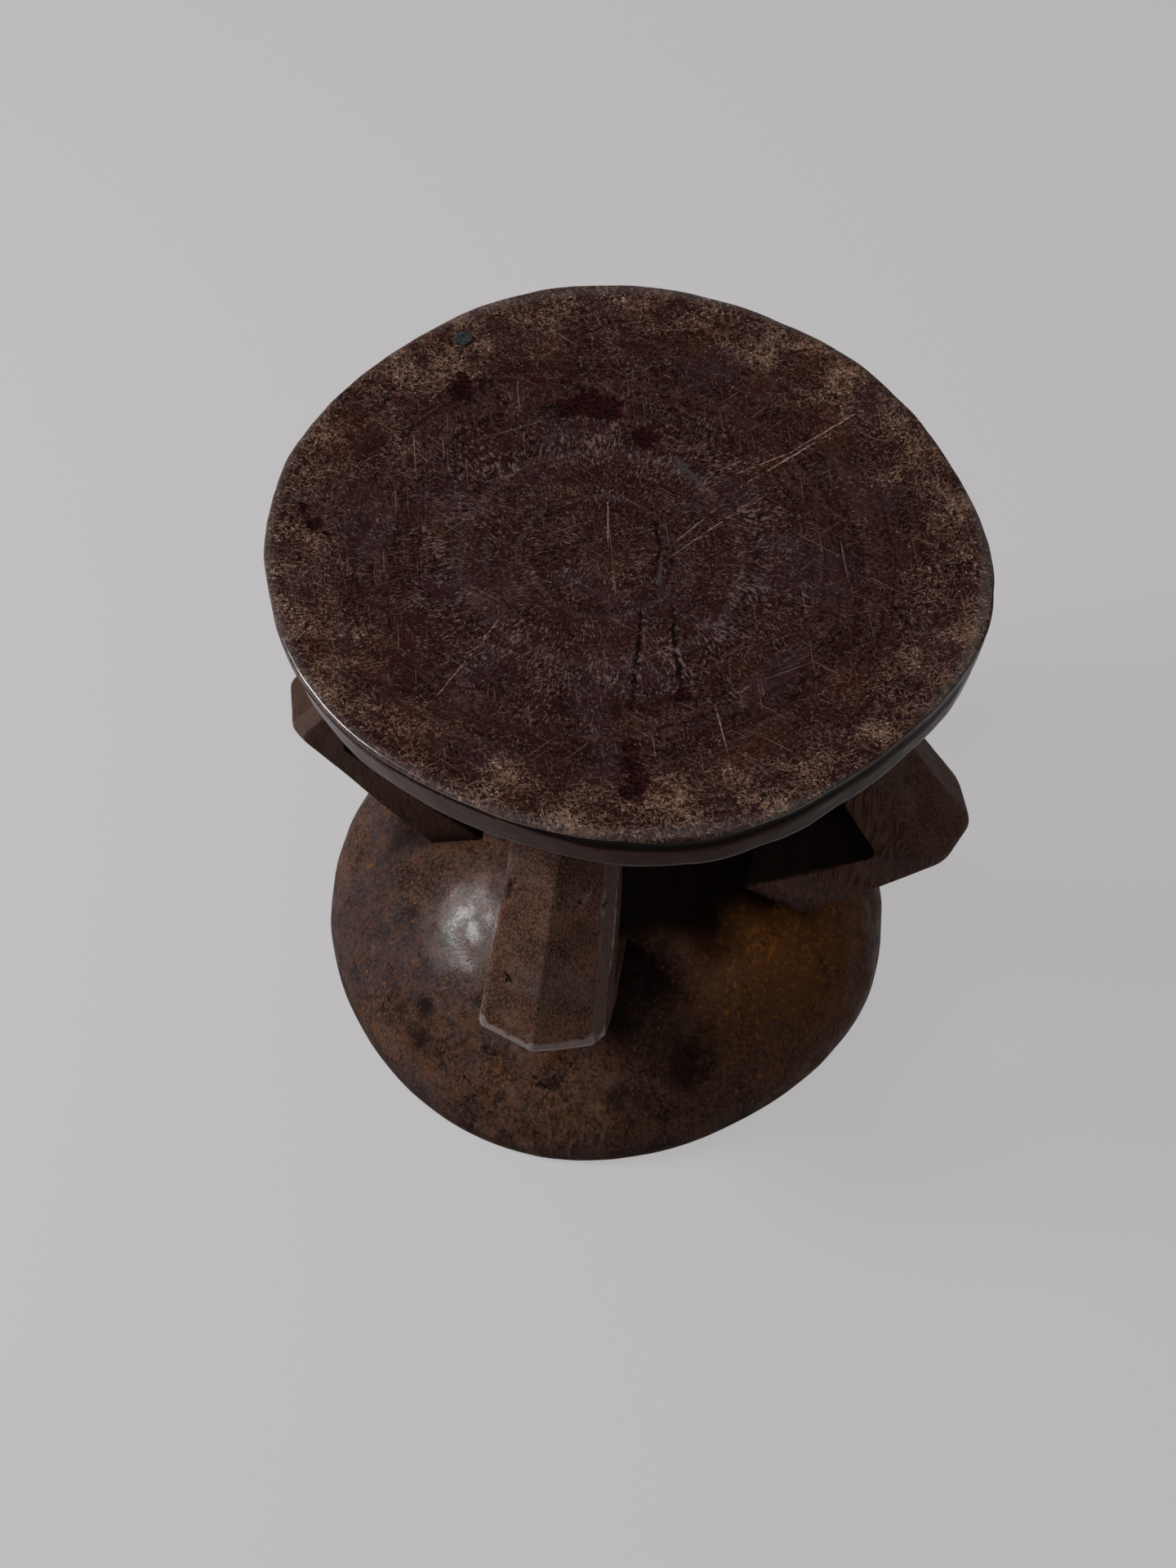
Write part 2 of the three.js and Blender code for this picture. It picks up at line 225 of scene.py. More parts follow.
BASE_STAINS = (
    Spot((-69.0, -98.2, 49.9), 5.0, 0.9),
    Spot((-58.0, -100.0, 56.0), 3.0, 0.6),
    Spot((-43.0, -98.7, 63.1), 3.5, 0.9),
    Spot((32.0, -76.0, 80.0), 20.0, 0.8),
    Spot((26.0, -100.0, 66.0), 14.0, 0.5),
    Spot((-70.3, -110.8, 39.9), 12.0, 0.7),
    Spot((-92.0, -84.0, 49.0), 8.0, 0.6),
    Spot((-84.0, -62.0, 68.0), 8.0, 0.5),
    Spot((60.0, -104.0, 50.0), 16.0, 0.8),
    Spot((30.0, -122.0, 42.0), 10.0, 0.6),
    Spot((82.0, -24.0, 80.0), 6.0, 1.0),
    Spot((-10.0, -128.0, 34.0), 8.0, 0.4),
)


def fade(values: np.ndarray, low: float, high: float) -> np.ndarray:
    """Rises smoothly from 0 at the low value to 1 at the high one.

    Args:
        values: The values to judge.
        low: The value that gives 0.
        high: The value that gives 1, which may be the lower of the two.

    Returns:
        A share from 0 to 1 for each value.
    """
    share = np.clip((values - low) / (high - low), 0.0, 1.0)
    return share * share * (3.0 - 2.0 * share)


def uneven(places: np.ndarray, size: float, seed: int) -> np.ndarray:
    """A smooth random height over places, made of plane waves in random directions.

    Args:
        places: Points in space, one in each row.
        size: The usual length of a wave.
        seed: Picks the waves.

    Returns:
        A height for each place, mostly between -1 and 1.
    """
    count = 24
    draw = np.random.default_rng(seed)
    directions = draw.normal(size=(count, 3))
    directions /= np.linalg.norm(directions, axis=1, keepdims=True)
    lengths = size * draw.uniform(0.7, 1.5, count)
    phases = draw.uniform(0.0, math.tau, count)
    turns = places @ (directions * (math.tau / lengths)[:, None]).T + phases
    return np.sin(turns).sum(axis=1) / math.sqrt(count)


def hewn(places: np.ndarray, layers: Iterable[Pair], seed: int) -> np.ndarray:
    """The unevenness of several layers, each with the usual length of its waves and its height."""
    return sum(uneven(places, size, seed + i) * height for i, (size, height) in enumerate(layers))


def away_from(places: np.ndarray, middle: Pair) -> np.ndarray:
    """How far places lie from an upright line."""
    return np.hypot(places[:, 0] - middle[0], places[:, 1] - middle[1])


def spotted(places: np.ndarray, spots: Iterable[Spot]) -> np.ndarray:
    """The strengths of the spots at each place, which fade outwards and add up.

    Args:
        places: Points in space, one in each row.
        spots: The spots.

    Returns:
        The sum of the strengths at each place.
    """
    total = np.zeros(len(places))
    for spot in spots:
        away = np.linalg.norm(places - np.array(spot.middle), axis=1)
        total += spot.strength * np.exp(-((away / spot.radius) ** 2))
    return total


def from_line(places: np.ndarray, line: Line) -> tuple[np.ndarray, np.ndarray]:
    """Measures places against a line.

    Args:
        places: Points in space, one in each row.
        line: The line.

    Returns:
        How far along the line each place lies, from 0 to 1, and its distance from the line.
    """
    start = np.array(line.start)
    run = np.array(line.end) - start
    share = np.clip((places - start) @ run / (run @ run), 0.0, 1.0)
    return share, np.linalg.norm(places - start - share[:, None] * run, axis=1)


def cracked(places: np.ndarray, lines: Iterable[Line]) -> np.ndarray:
    """How deep each place lies in the cracks.

    Args:
        places: Points in space, one in each row.
        lines: The cracks.

    Returns:
        The depth at each place.
    """
    depths = np.zeros(len(places))
    for line in lines:
        share, away = from_line(places, line)
        width = line.width * np.sqrt(np.clip(4 * share * (1 - share), 0.05, 1.0))
        depths = np.maximum(depths, line.depth * np.clip(1.2 - away / width, 0.0, 1.0))
    return depths


def shares(steps: int) -> list[float]:
    """The shares from 0 to 1 in equal steps."""
    return [i / steps for i in range(steps + 1)]


def quarter(steps: int) -> list[float]:
    """The angles of a quarter turn in equal steps."""
    return [math.pi / 2 * i / steps for i in range(steps + 1)]


def rounded_corner(
    before: Vector, corner: Vector, after: Vector, radius: float, steps: int
) -> list[Vector]:
    """Points of an arc that rounds the corner of a flat path.

    Args:
        before: The path's point before the corner.
        corner: The corner itself.
        after: The path's point after the corner.
        radius: The arc's radius.
        steps: How many steps the arc has.

    Returns:
        The arc's points, from the side of the point before.
    """
    to_before = (before - corner).normalized()
    to_after = (after - corner).normalized()
    half = to_before.angle(to_after) / 2
    centre = corner + (to_before + to_after).normalized() * radius / math.sin(half)
    start = corner + to_before * radius / math.tan(half) - centre
    end = corner + to_after * radius / math.tan(half) - centre
    sweep = math.atan2(start.x * end.y - start.y * end.x, start.dot(end))
    return [centre + Matrix.Rotation(sweep * share, 2) @ start for share in shares(steps)]


# Meshes


def lathe(profile: Sequence[Pair], steps: int) -> Shape:
    """Turns a profile about Z into a closed shape.

    Args:
        profile: The distances from Z and the heights of its points, from axis to axis.
        steps: How many steps the full turn has.

    Returns:
        The turned shape, with one point at each pole.
    """
    shape = bmesh.new()
    verts = [shape.verts.new((out, 0, level)) for out, level in profile]
    edges = [shape.edges.new(pair) for pair in zip(verts, verts[1:])]
    bmesh.ops.spin(
        shape,
        geom=verts + edges,
        cent=(0, 0, 0),
        axis=(0, 0, 1),
        angle=math.tau,
        steps=steps,
        use_merge=True,
    )
    bmesh.ops.remove_doubles(shape, verts=shape.verts, dist=SAME_PLACE)
    bmesh.ops.recalc_face_normals(shape, faces=shape.faces)
    return shape


def out_of_round(
    shape: Shape,
    waves: Iterable[Wave],
    radius: float,
    strength: Callable[[float], float] = lambda level: 1.0,
) -> None:
    """Pushes a turned shape in and out by waves.

    Args:
        shape: The shape.
        waves: The waves of its outline.
        radius: Where the waves have their full height, which falls to nothing at the axis.
        strength: The share of the push at a height.
    """
    for vert in shape.verts:
        angle = math.atan2(vert.co.y, vert.co.x)
        share = (math.hypot(vert.co.x, vert.co.y) / radius) ** 2 * strength(vert.co.z)
        push = sum(w.height * math.cos(w.lobes * (angle - math.radians(w.towards))) for w in waves)
        factor = 1 + share * push / radius
        vert.co.x *= factor
        vert.co.y *= factor


def refine(shape: Shape, longest: float, rounds: int) -> None:
    """Halves every edge that is longer than a length, round after round.

    Args:
        shape: The shape.
        longest: The length that an edge may keep.
        rounds: The most rounds.
    """
    for _ in range(rounds):
        long_edges = [edge for edge in shape.edges if edge.calc_length() > longest]
        if not long_edges:
            return
        bmesh.ops.subdivide_edges(shape, edges=long_edges, cuts=1, use_grid_fill=True)


def refine_near(shape: Shape, lines: Iterable[Line], reach: float = 3.0) -> None:
    """Halves the edges near cracks, so that the mesh is fine enough to hold them.

    Args:
        shape: The shape.
        lines: The cracks.
        reach: How near an edge has to lie.
    """
    places = np.array([vert.co for vert in shape.verts])
    gaps = np.min([from_line(places, line)[1] for line in lines], axis=0)
    near = {vert for vert, gap in zip(shape.verts, gaps) if gap < reach}
    edges = [edge for edge in shape.edges if near.issuperset(edge.verts)]
    bmesh.ops.subdivide_edges(shape, edges=edges, cuts=1, use_grid_fill=True)


class Surface:
    """The points of a finished mesh, which are moved and measured all together."""

    def __init__(self, mesh: bpy.types.Mesh) -> None:
        """Reads the points and the edges of a mesh."""
        self.mesh = mesh
        self.places = self.read(mesh.vertices, "co")
        ends = np.zeros(len(mesh.edges) * 2, dtype=np.int32)
        mesh.edges.foreach_get("vertices", ends)
        self.edges = ends.reshape(-1, 2)
        self.links = np.maximum(np.bincount(ends, minlength=len(mesh.vertices)), 1)

    @staticmethod
    def read(rows: bpy.types.bpy_prop_collection, name: str) -> np.ndarray:
        """Reads a vector for each point."""
        flat = np.zeros(len(rows) * 3, dtype=np.float32)
        rows.foreach_get(name, flat)
        return flat.reshape(-1, 3).astype(float)

    @property
    def normals(self) -> np.ndarray:
        """The direction in which the surface faces at each point."""
        return self.read(self.mesh.vertex_normals, "vector")

    def push(self, rough: np.ndarray, cut: np.ndarray, most: float) -> None:
        """Moves each point along its normal, and never out of the solid that the mesh began as.

        Args:
            rough: The unevenness of the surface, which may rise and fall.
            cut: How deep the dents and cracks are.
            most: The highest rise that is kept. The whole surface is lowered by as much.
        """
        heights = np.minimum(rough, most) - most - cut
        self.places += self.normals * heights[:, None]
        self.place()

    def place(self) -> None:
        """Writes the points back to the mesh."""
        self.mesh.vertices.foreach_set("co", self.places.astype(np.float32).ravel())
        self.mesh.update()

    def soften(self, share: np.ndarray, passes: int) -> None:
        """Draws each point by its share towards the mean of its neighbours, which rounds edges."""
        for _ in range(passes):
            self.places += (self.around(self.places) - self.places) * share[:, None]
        self.place()

    def around(self, values: np.ndarray) -> np.ndarray:
        """The mean of the values at each point's neighbours.

        Args:
            values: A number or a vector for each point.

        Returns:
            The means, in the same form.
        """
        total = np.zeros_like(values)
        np.add.at(total, self.edges[:, 0], values[self.edges[:, 1]])
        np.add.at(total, self.edges[:, 1], values[self.edges[:, 0]])
        return total / (self.links if values.ndim == 1 else self.links[:, None])

    def bulge(self, passes: int) -> np.ndarray:
        """How far each point stands out of its surroundings.

        Args:
            passes: How often the places are evened out first, which sets the width of the look.

        Returns:
            Positive values on edges that stick out and negative ones in corners.
        """
        mean = self.places
        for _ in range(passes):
            mean = self.around(mean)
        return ((self.places - mean) * self.normals).sum(axis=1)

    def store(self, **masks: np.ndarray) -> None:
        """Keeps a value for each point under each name, for the finish to read."""
        for name, values in masks.items():
            layer = self.mesh.attributes.new(name, "FLOAT", "POINT")
            layer.data.foreach_set("value", values.astype(np.float32))


def piece(name: str, shape: Shape) -> bpy.types.Object:
    """Makes an object of a shape, with smooth shading, and frees the shape.

    Args:
        name: The object's name.
        shape: Its shape.

    Returns:
        The object, in the scene.
    """
    mesh = bpy.data.meshes.new(name)
    shape.to_mesh(mesh)
    shape.free()
    mesh.polygons.foreach_set("use_smooth", [True] * len(mesh.polygons))
    made = bpy.data.objects.new(name, mesh)
    bpy.context.scene.collection.objects.link(made)
    return made


# Shader nodes


class Wire:
    """A number or a vector on its way through a graph, which the usual signs work on."""

    def __init__(self, graph: "Graph", socket: bpy.types.NodeSocket) -> None:
        """Takes the graph and the socket that the value comes out of."""
        self.graph = graph
        self.socket = socket

    def _sum(self, operation: str, first: "Feed", second: "Feed") -> "Wire":
        """One sum of numbers, or of vectors where this value is one."""
        if self.socket.type == "VECTOR":
            return self.graph.vector_math(operation, {0: first, 1: second})
        return self.graph.math(operation, first, second)

    def __add__(self, other: "Feed") -> "Wire":
        """This plus the other."""
        return self._sum("ADD", self, other)

    def __sub__(self, other: "Feed") -> "Wire":
        """This minus the other."""
        return self._sum("SUBTRACT", self, other)

    def __rsub__(self, other: "Feed") -> "Wire":
        """The other minus this."""
        return self._sum("SUBTRACT", other, self)

    def __mul__(self, other: "Feed") -> "Wire":
        """This times the other."""
        return self._sum("MULTIPLY", self, other)

    def __truediv__(self, other: "Feed") -> "Wire":
        """This divided by the other."""
        return self._sum("DIVIDE", self, other)

    def dot(self, other: "Feed") -> "Wire":
        """The dot product of two vectors."""
        return self.graph.vector_math("DOT_PRODUCT", {0: self, 1: other}, output="Value")

    def length(self) -> "Wire":
        """The length of a vector."""
        return self.graph.vector_math("LENGTH", {0: self}, output="Value")

    def noise(self, size: float, detail: float = 3, rough: float = 0.6) -> "Wire":
        """A cloudy number about 0.5 at this place, whose largest clouds have a size."""
        feeds = {"Vector": self, "Scale": 1 / size, "Detail": detail, "Roughness": rough}
        return self.graph.node("ShaderNodeTexNoise", feeds)

    def fade(self, low: "Feed", high: "Feed", start: "Feed" = 0.0, end: "Feed" = 1.0) -> "Wire":
        """Goes smoothly from start to end while this value goes from low to high."""
        feeds = {"Value": self, "From Min": low, "From Max": high, "To Min": start, "To Max": end}
        return self.graph.node("ShaderNodeMapRange", feeds, interpolation_type="SMOOTHSTEP")

    def ragged(self, cloud: "Wire", spread: float, low: float, high: float) -> "Wire":
        """This soft mask with its edge broken up by a cloud."""
        return (self + (cloud - 0.5) * spread).fade(low, high)


Feed = Wire | float | tuple[float, ...]


class Graph:
    """Writes the nodes of one material or one shared effect."""

    def __init__(self, tree: bpy.types.NodeTree) -> None:
        """Takes the tree that the nodes go into."""
        self.tree = tree

    def new(self, kind: str, feeds: dict[str | int, Feed], **settings: object) -> bpy.types.Node:
        """Adds a node.

        Args:
            kind: The node's type.
            feeds: What goes into its sockets, by name or number.
            **settings: Its own settings.

        Returns:
            The new node.
        """
        made = self.tree.nodes.new(kind)
        for name, setting in settings.items():
            setattr(made, name, setting)
        for socket, value in feeds.items():
            self.feed(made.inputs[socket], value)
        return made

    def feed(self, socket: bpy.types.NodeSocket, value: Feed) -> None:
        """Links a socket to a wire, or sets its value."""
        if isinstance(value, Wire):
            self.tree.links.new(value.socket, socket)
        else:
            socket.default_value = value

    def node(
        self, kind: str, feeds: dict[str | int, Feed], output: str | int = 0, **settings: object
    ) -> Wire:
        """Adds a node and goes on from one of its outputs."""
        return Wire(self, self.new(kind, feeds, **settings).outputs[output])

    def outputs(self, made: bpy.types.Node) -> dict[str, Wire]:
        """All that comes out of a node, by name."""
        return {socket.name: Wire(self, socket) for socket in made.outputs}

    def math(self, operation: str, first: Feed, second: Feed = 0.0, clamp: bool = False) -> Wire:
        """One sum or function of numbers."""
        feeds = {0: first, 1: second}
        return self.node("ShaderNodeMath", feeds, operation=operation, use_clamp=clamp)

    def vector_math(
        self, operation: str, feeds: dict[str | int, Feed], output: str = "Vector"
    ) -> Wire:
        """One sum or function of vectors, which gives a vector or a value."""
        return self.node("ShaderNodeVectorMath", feeds, output, operation=operation)

    def largest(self, *values: Wire) -> Wire:
        """The largest of several numbers.

        Args:
            *values: The numbers.

        Returns:
            The largest one at each place.
        """
        top = values[0]
        for value in values[1:]:
            top = self.math("MAXIMUM", top, value)
        return top

    def joined(self, x: Feed, y: Feed, z: Feed = 0.0) -> Wire:
        """A vector of three numbers."""
        return self.node("ShaderNodeCombineXYZ", {0: x, 1: y, 2: z})

    def stored(self, name: str) -> Wire:
        """A value that the mesh keeps for each point."""
        return self.node("ShaderNodeAttribute", {}, output="Fac", attribute_name=name)

    def mix(self, share: Feed, first: Feed, second: Feed) -> Wire:
        """A colour between two others."""
        feeds = {0: share, 6: first, 7: second}
        return self.node("ShaderNodeMix", feeds, output=2, data_type="RGBA")

    def paint(self, colour: Feed, *coats: tuple[Wire, Feed, Colour]) -> Feed:
        """Lays coats over a colour, one after another, each with a mask, a strength and a colour.

        Args:
            colour: The colour beneath.
            *coats: The mask, the strength and the colour of each coat.

        Returns:
            The colour with its coats.
        """
        for mask, strength, coat in coats:
            colour = self.mix(self.math("MULTIPLY", mask, strength, clamp=True), colour, coat)
        return colour

    def effect(self, tree: bpy.types.NodeTree, **feeds: Feed) -> dict[str, Wire]:
        """Places a shared effect, with its inputs by name in small letters.

        Args:
            tree: The effect.
            **feeds: Its inputs, by name in small letters.

        Returns:
            Its outputs by name.
        """
        made = self.tree.nodes.new("ShaderNodeGroup")
        made.node_tree = tree
        for name, value in feeds.items():
            self.feed(made.inputs[name.capitalize()], value)
        return self.outputs(made)

    def show(self, shader: Wire) -> None:
        """Sends a shader to the material's output."""
        self.new("ShaderNodeOutputMaterial", {"Surface": shader})


class Kind(Enum):
    """What a socket of a shared effect carries."""

    NUMBER = "NodeSocketFloat"
    VECTOR = "NodeSocketVector"


class Effects:
    """The effects that more than one finish uses, each one a node group that is built once."""

    def __init__(self) -> None:
        """Builds every effect."""
        self.fibre = self._fibre()
        self.strokes = self._strokes()
        self.line = self._line()
        self.wear = self._wear()

    @staticmethod
    def _start(
        name: str, vectors: Sequence[str], numbers: Sequence[str], gives: Sequence[str]
    ) -> tuple[Graph, dict[str, Wire], dict[str, bpy.types.NodeSocket]]:
        """Starts a node group.

        Args:
            name: The effect's name.
            vectors: Its inputs that are vectors.
            numbers: Its inputs that are numbers.
            gives: Its outputs, which are all numbers.

        Returns:
            The group's graph, its inputs by name and the sockets that its results go into.
        """
        tree = bpy.data.node_groups.new(name, "ShaderNodeTree")
        takes = dict.fromkeys(vectors, Kind.VECTOR) | dict.fromkeys(numbers, Kind.NUMBER)
        for label, kind in takes.items():
            tree.interface.new_socket(name=label, in_out="INPUT", socket_type=kind.value)
        for label in gives:
            tree.interface.new_socket(name=label, in_out="OUTPUT", socket_type=Kind.NUMBER.value)
        graph = Graph(tree)
        given = graph.outputs(tree.nodes.new("NodeGroupInput"))
        return graph, given, dict(tree.nodes.new("NodeGroupOutput").inputs.items())

    def _fibre(self) -> bpy.types.NodeTree:
        """Wood fibres that run up and down the block, with pores as short dark dashes.

        Returns:
            The effect.
        """
        numbers = ["Width", "Length"]
        graph, given, result = self._start("block_fibre", ["Place"], numbers, ["Streak", "Pores"])
        place = given["Place"]
        width, length = (given[name] for name in numbers)
        sway = place.noise(33, detail=1)
        size = graph.joined(width, width, length)
        along = (place + graph.joined(sway * 9, sway * -7)) / size
        dashes = (along + (31, 17, 5)).noise(0.53, detail=1, rough=0.4)
        graph.feed(result["Streak"], along.noise(1, detail=5, rough=0.62))
        graph.feed(result["Pores"], dashes.fade(0.62, 0.72))
        return graph.tree

    def _strokes(self) -> bpy.types.NodeTree:
        """Straight strokes that run one way, from short fibres to long scratches.

        Returns:
            The effect.
        """
        numbers = ["Turn", "Length", "Width", "Share"]
        graph, given, result = self._start("strokes", ["Place"], numbers, ["Mask"])
        turn, length, width, share = (given[name] for name in numbers)
        feeds = {"Vector": given["Place"], "Angle": turn}
        turned = graph.node("ShaderNodeVectorRotate", feeds, rotation_type="Z_AXIS")
        shift = graph.joined(turn * 31, length)
        stretched = turned / graph.joined(length, width, width) + shift
        blobs = stretched.noise(1, detail=1.5, rough=0.55)
        limit = 0.8 - share * 0.34
        graph.feed(result["Mask"], blobs.fade(limit, limit + 0.07))
        return graph.tree

    def _line(self) -> bpy.types.NodeTree:
        """A thin ragged line between two points, widest in its middle.

        Returns:
            The effect.
        """
        vectors = ["Place", "Start", "End"]
        graph, given, result = self._start("thin_line", vectors, ["Width", "Sway"], ["Mask"])
        place, start, end = (given[name] for name in vectors)
        sway = (place.noise(7) - 0.5) * given["Sway"]
        run = end - start
        away = place + graph.joined(sway, sway) - start
        share = graph.math("DIVIDE", away.dot(run), run.dot(run), clamp=True)
        foot = graph.vector_math("SCALE", {0: run, "Scale": share})
        gap = (away - foot).length()
        bell = graph.math("POWER", share * (1 - share) * 4, 0.5)
        width = given["Width"] * bell * place.noise(2.2).fade(0.3, 0.7, 0.2, 1.3)
        graph.feed(result["Mask"], gap.fade(width * 0.5, width + 0.05, 1, 0))
        return graph.tree

    def _wear(self) -> bpy.types.NodeTree:
        """Where hands have rubbed the edges, and where the corners come out darker.

        Returns:
            The effect.
        """
        numbers = ["Bulge", "Low", "High"]
        graph, given, result = self._start("edge_wear", ["Place"], numbers, ["Rubbed", "Cornered"])
        bulge, low, high = (given[name] for name in numbers)
        cloud = given["Place"].noise(4.5, detail=4) - 0.5
        shown = bulge + cloud * ((high - low) * 1.2)
        graph.feed(result["Rubbed"], shown.fade(low, high))
        graph.feed(result["Cornered"], (shown * -1).fade(low, high))
        return graph.tree


@dataclass(frozen=True)
class Finish:
    """What every finish has: the stool's axis, the effects, and how a material starts and ends."""

    axis: Vector
    effects: Effects

    def begin(self, name: str) -> tuple[bpy.types.Material, Graph, Wire]:
        """Starts a material.

        Args:
            name: The material's name.

        Returns:
            The material, its graph and the place on the surface, in millimetres from the axis.
        """
        material, graph = new_material(name)
        place = graph.node("ShaderNodeTexCoord", {}, output="Object")
        return material, graph, (place - tuple(self.axis)) * ((1 / MM,) * 3)

    def strokes(self, graph: Graph, place: Wire, width: float, share: Feed, *ways: Pair) -> Wire:
        """The mask of strokes that run several ways, each with its turn and its length.

        Args:
            graph: The material's graph.
            place: The place on the surface.
            width: The width of a stroke.
            share: How dense they are, from 0 to 1.
            *ways: The turn and the length of each lot.

        Returns:
            The mask of all the strokes.
        """
        tree, same = self.effects.strokes, {"place": place, "width": width, "share": share}
        made = (graph.effect(tree, **same, turn=turn, length=length) for turn, length in ways)
        return graph.largest(*(mask["Mask"] for mask in made))

    def lines(self, graph: Graph, place: Wire, lines: Iterable[Line], sway: float = 3.5) -> Wire:
        """The mask of several thin lines, which wander by part of the sway.

        Args:
            graph: The material's graph.
            place: The place on the surface.
            lines: The lines.
            sway: How far they wander, as a width in all.

        Returns:
            The mask of all the lines.
        """
        tree, same = self.effects.line, {"place": place, "sway": sway}
        made = (graph.effect(tree, **same, start=x.start, end=x.end, width=x.width) for x in lines)
        return graph.largest(*(mask["Mask"] for mask in made))

    def wear(self, graph: Graph, place: Wire, low: float, high: float) -> tuple[Wire, Wire]:
        """The masks of rubbed edges and of darker corners, which show between two bulges."""
        bulge = graph.stored("bulge")
        made = graph.effect(self.effects.wear, place=place, bulge=bulge, low=low, high=high)
        return made["Rubbed"], made["Cornered"]

    @staticmethod
    def end(graph: Graph, feeds: dict[str, Feed], height: Wire, depth: float) -> None:
        """Ends the material with its shader.

        Args:
            graph: The material's graph.
            feeds: What goes into the shader's sockets.
            height: The surface's fine relief, where 1 is a full depth.
            depth: The relief's depth in millimetres.
        """
        bump = graph.node("ShaderNodeBump", {"Height": height, "Distance": depth * MM})
        graph.show(graph.node("ShaderNodeBsdfPrincipled", {**feeds, "Normal": bump}))


def new_material(name: str) -> tuple[bpy.types.Material, Graph]:
    """Starts an empty material, and gives its graph with it.

    Args:
        name: The material's name.

    Returns:
        The material and its graph.
    """
    material = bpy.data.materials.new(name)
    material.use_nodes = True
    material.node_tree.nodes.clear()
    return material, Graph(material.node_tree)


# Seat


@dataclass
class Seat:
    """The dished seat: a rounded lip, a groove under it, a smooth band and a bowl beneath."""

    height: float = 287
    aside: tuple[float, float] = (-0.4, 2.6)
    radius: float = 149.2
    dish: float = 10
    land: float = 3
    edge_round: float = 2
    lip: float = 3.2
    rim: float = 15
    taper: float = 1.7
    bowl: float = 23
    turn_steps: int = 440
    dish_rings: int = 90
    side_rings: int = 30
    bowl_rings: int = 38
    edge_steps: int = 6
    ring_pitch: float = 12.5
    ring_middle: tuple[float, float] = (-10.3, -1.2)
    ring_depth: float = 0.12
    ring_sway: float = 2.2
    rough: tuple[Pair, ...] = ((34, 0.3), (12, 0.08), (4.5, 0.03))
    rough_most: float = 0.45
    crack_share: float = 0.5
    waves: tuple[Wave, ...] = (
        Wave(2, 1.05, 111),
        Wave(3, 1.25, -11),
        Wave(4, 1.6, 10),
        Wave(5, 0.7, -1),
        Wave(6, 1.05, -6),
    )
    foot_waves: tuple[Wave, ...] = (Wave(1, 2, -50), Wave(2, 1, -62))
    # The groove under the lip changes on its way round: direction, half height and depth.
    groove: tuple[Point, ...] = (
        (-180, 1.0, 1.2),
        (-120, 1.0, 1.2),
        (-96, 1.2, 1.3),
        (-85, 3.0, 1.9),
        (-66, 3.2, 1.8),
        (-50, 2.4, 1.2),
        (-15, 3.2, 0.7),
        (30, 3.0, 0.6),
        (80, 1.2, 1.0),
        (180, 1.0, 1.2),
    )

    @property
    def under_radius(self) -> float:
        """The radius at the foot of the rim."""
        return self.radius - self.taper

    @property
    def under_edge(self) -> float:
        """The height of the foot of the rim."""
        return self.height - self.rim

    @property
    def dish_radius(self) -> float:
        """Where the dish meets the flat land of the rim."""
        return self.radius - self.edge_round - self.land

    def underside_height(self, out: np.ndarray) -> np.ndarray:
        """The height of the bowl beneath at distances from the middle."""
        share = np.clip(out / self.under_radius, 0, 1)
        return self.under_edge - self.bowl * np.sqrt(1 - share**2)

    def rim_share(self, level: float) -> float:
        """How far down the rim a height lies: 0 at the lip and above, 1 at the foot and below."""
        return min(max((self.height - self.lip - level) / (self.rim - self.lip), 0), 1)

    def profile(self) -> list[Pair]:
        """The outline from the axis below, round the rim, to the axis above.

        Returns:
            The distances from the axis and the heights of its points.
        """
        foot, top = self.under_edge, self.height - self.edge_round
        bowl = [
            (self.under_radius * math.sin(a), foot - self.bowl * math.cos(a))
            for a in quarter(self.bowl_rings)
        ]
        side = [
            (self.under_radius + self.taper * min(share * 1.25, 1), foot + (top - foot) * share)
            for share in shares(self.side_rings)
        ]
        edge = [
            (self.radius - self.edge_round * (1 - math.cos(a)), top + self.edge_round * math.sin(a))
            for a in quarter(self.edge_steps)
        ]
        dish = [
            (self.dish_radius * (1 - share), self.height - self.dish * (1 - (1 - share) ** 2))
            for share in shares(self.dish_rings)
        ]
        return [*bowl[:-1], *side[:-1], *edge, *dish]

    def shape(self) -> Shape:
        """The seat turned from its profile, out of round as it was cut by hand.

        Returns:
            The seat's shape.
        """
        shape = lathe(self.profile(), self.turn_steps)
        out_of_round(shape, self.waves, self.radius)
        out_of_round(shape, self.foot_waves, self.radius, self.rim_share)
        bmesh.ops.translate(shape, verts=shape.verts, vec=(*self.aside, 0))
        refine_near(shape, SEAT_CRACKS)
        return shape

    def cut_groove(self, surface: Surface) -> np.ndarray:
        """Cuts the groove under the lip, sharp above and soft below, and returns how deep it is.

        Args:
            surface: The seat's surface.

        Returns:
            The groove's depth at each point.
        """
        places = surface.places
        directions, halves, depths = zip(*self.groove)
        towards = np.degrees(np.arctan2(places[:, 1], places[:, 0]))
        below = places[:, 2] - (self.height - self.lip)
        half = np.interp(towards, directions, halves)
        cut = np.minimum(fade(below / half, -2.0, -0.7), fade(below, 0.5, -0.2))
        cut *= np.interp(towards, directions, depths) * fade(surface.normals[:, 2], 0.8, 0.5)
        out = np.hypot(places[:, 0], places[:, 1])
        places[:, :2] *= 1 - (cut / np.maximum(out, 1))[:, None]
        surface.place()
        return cut

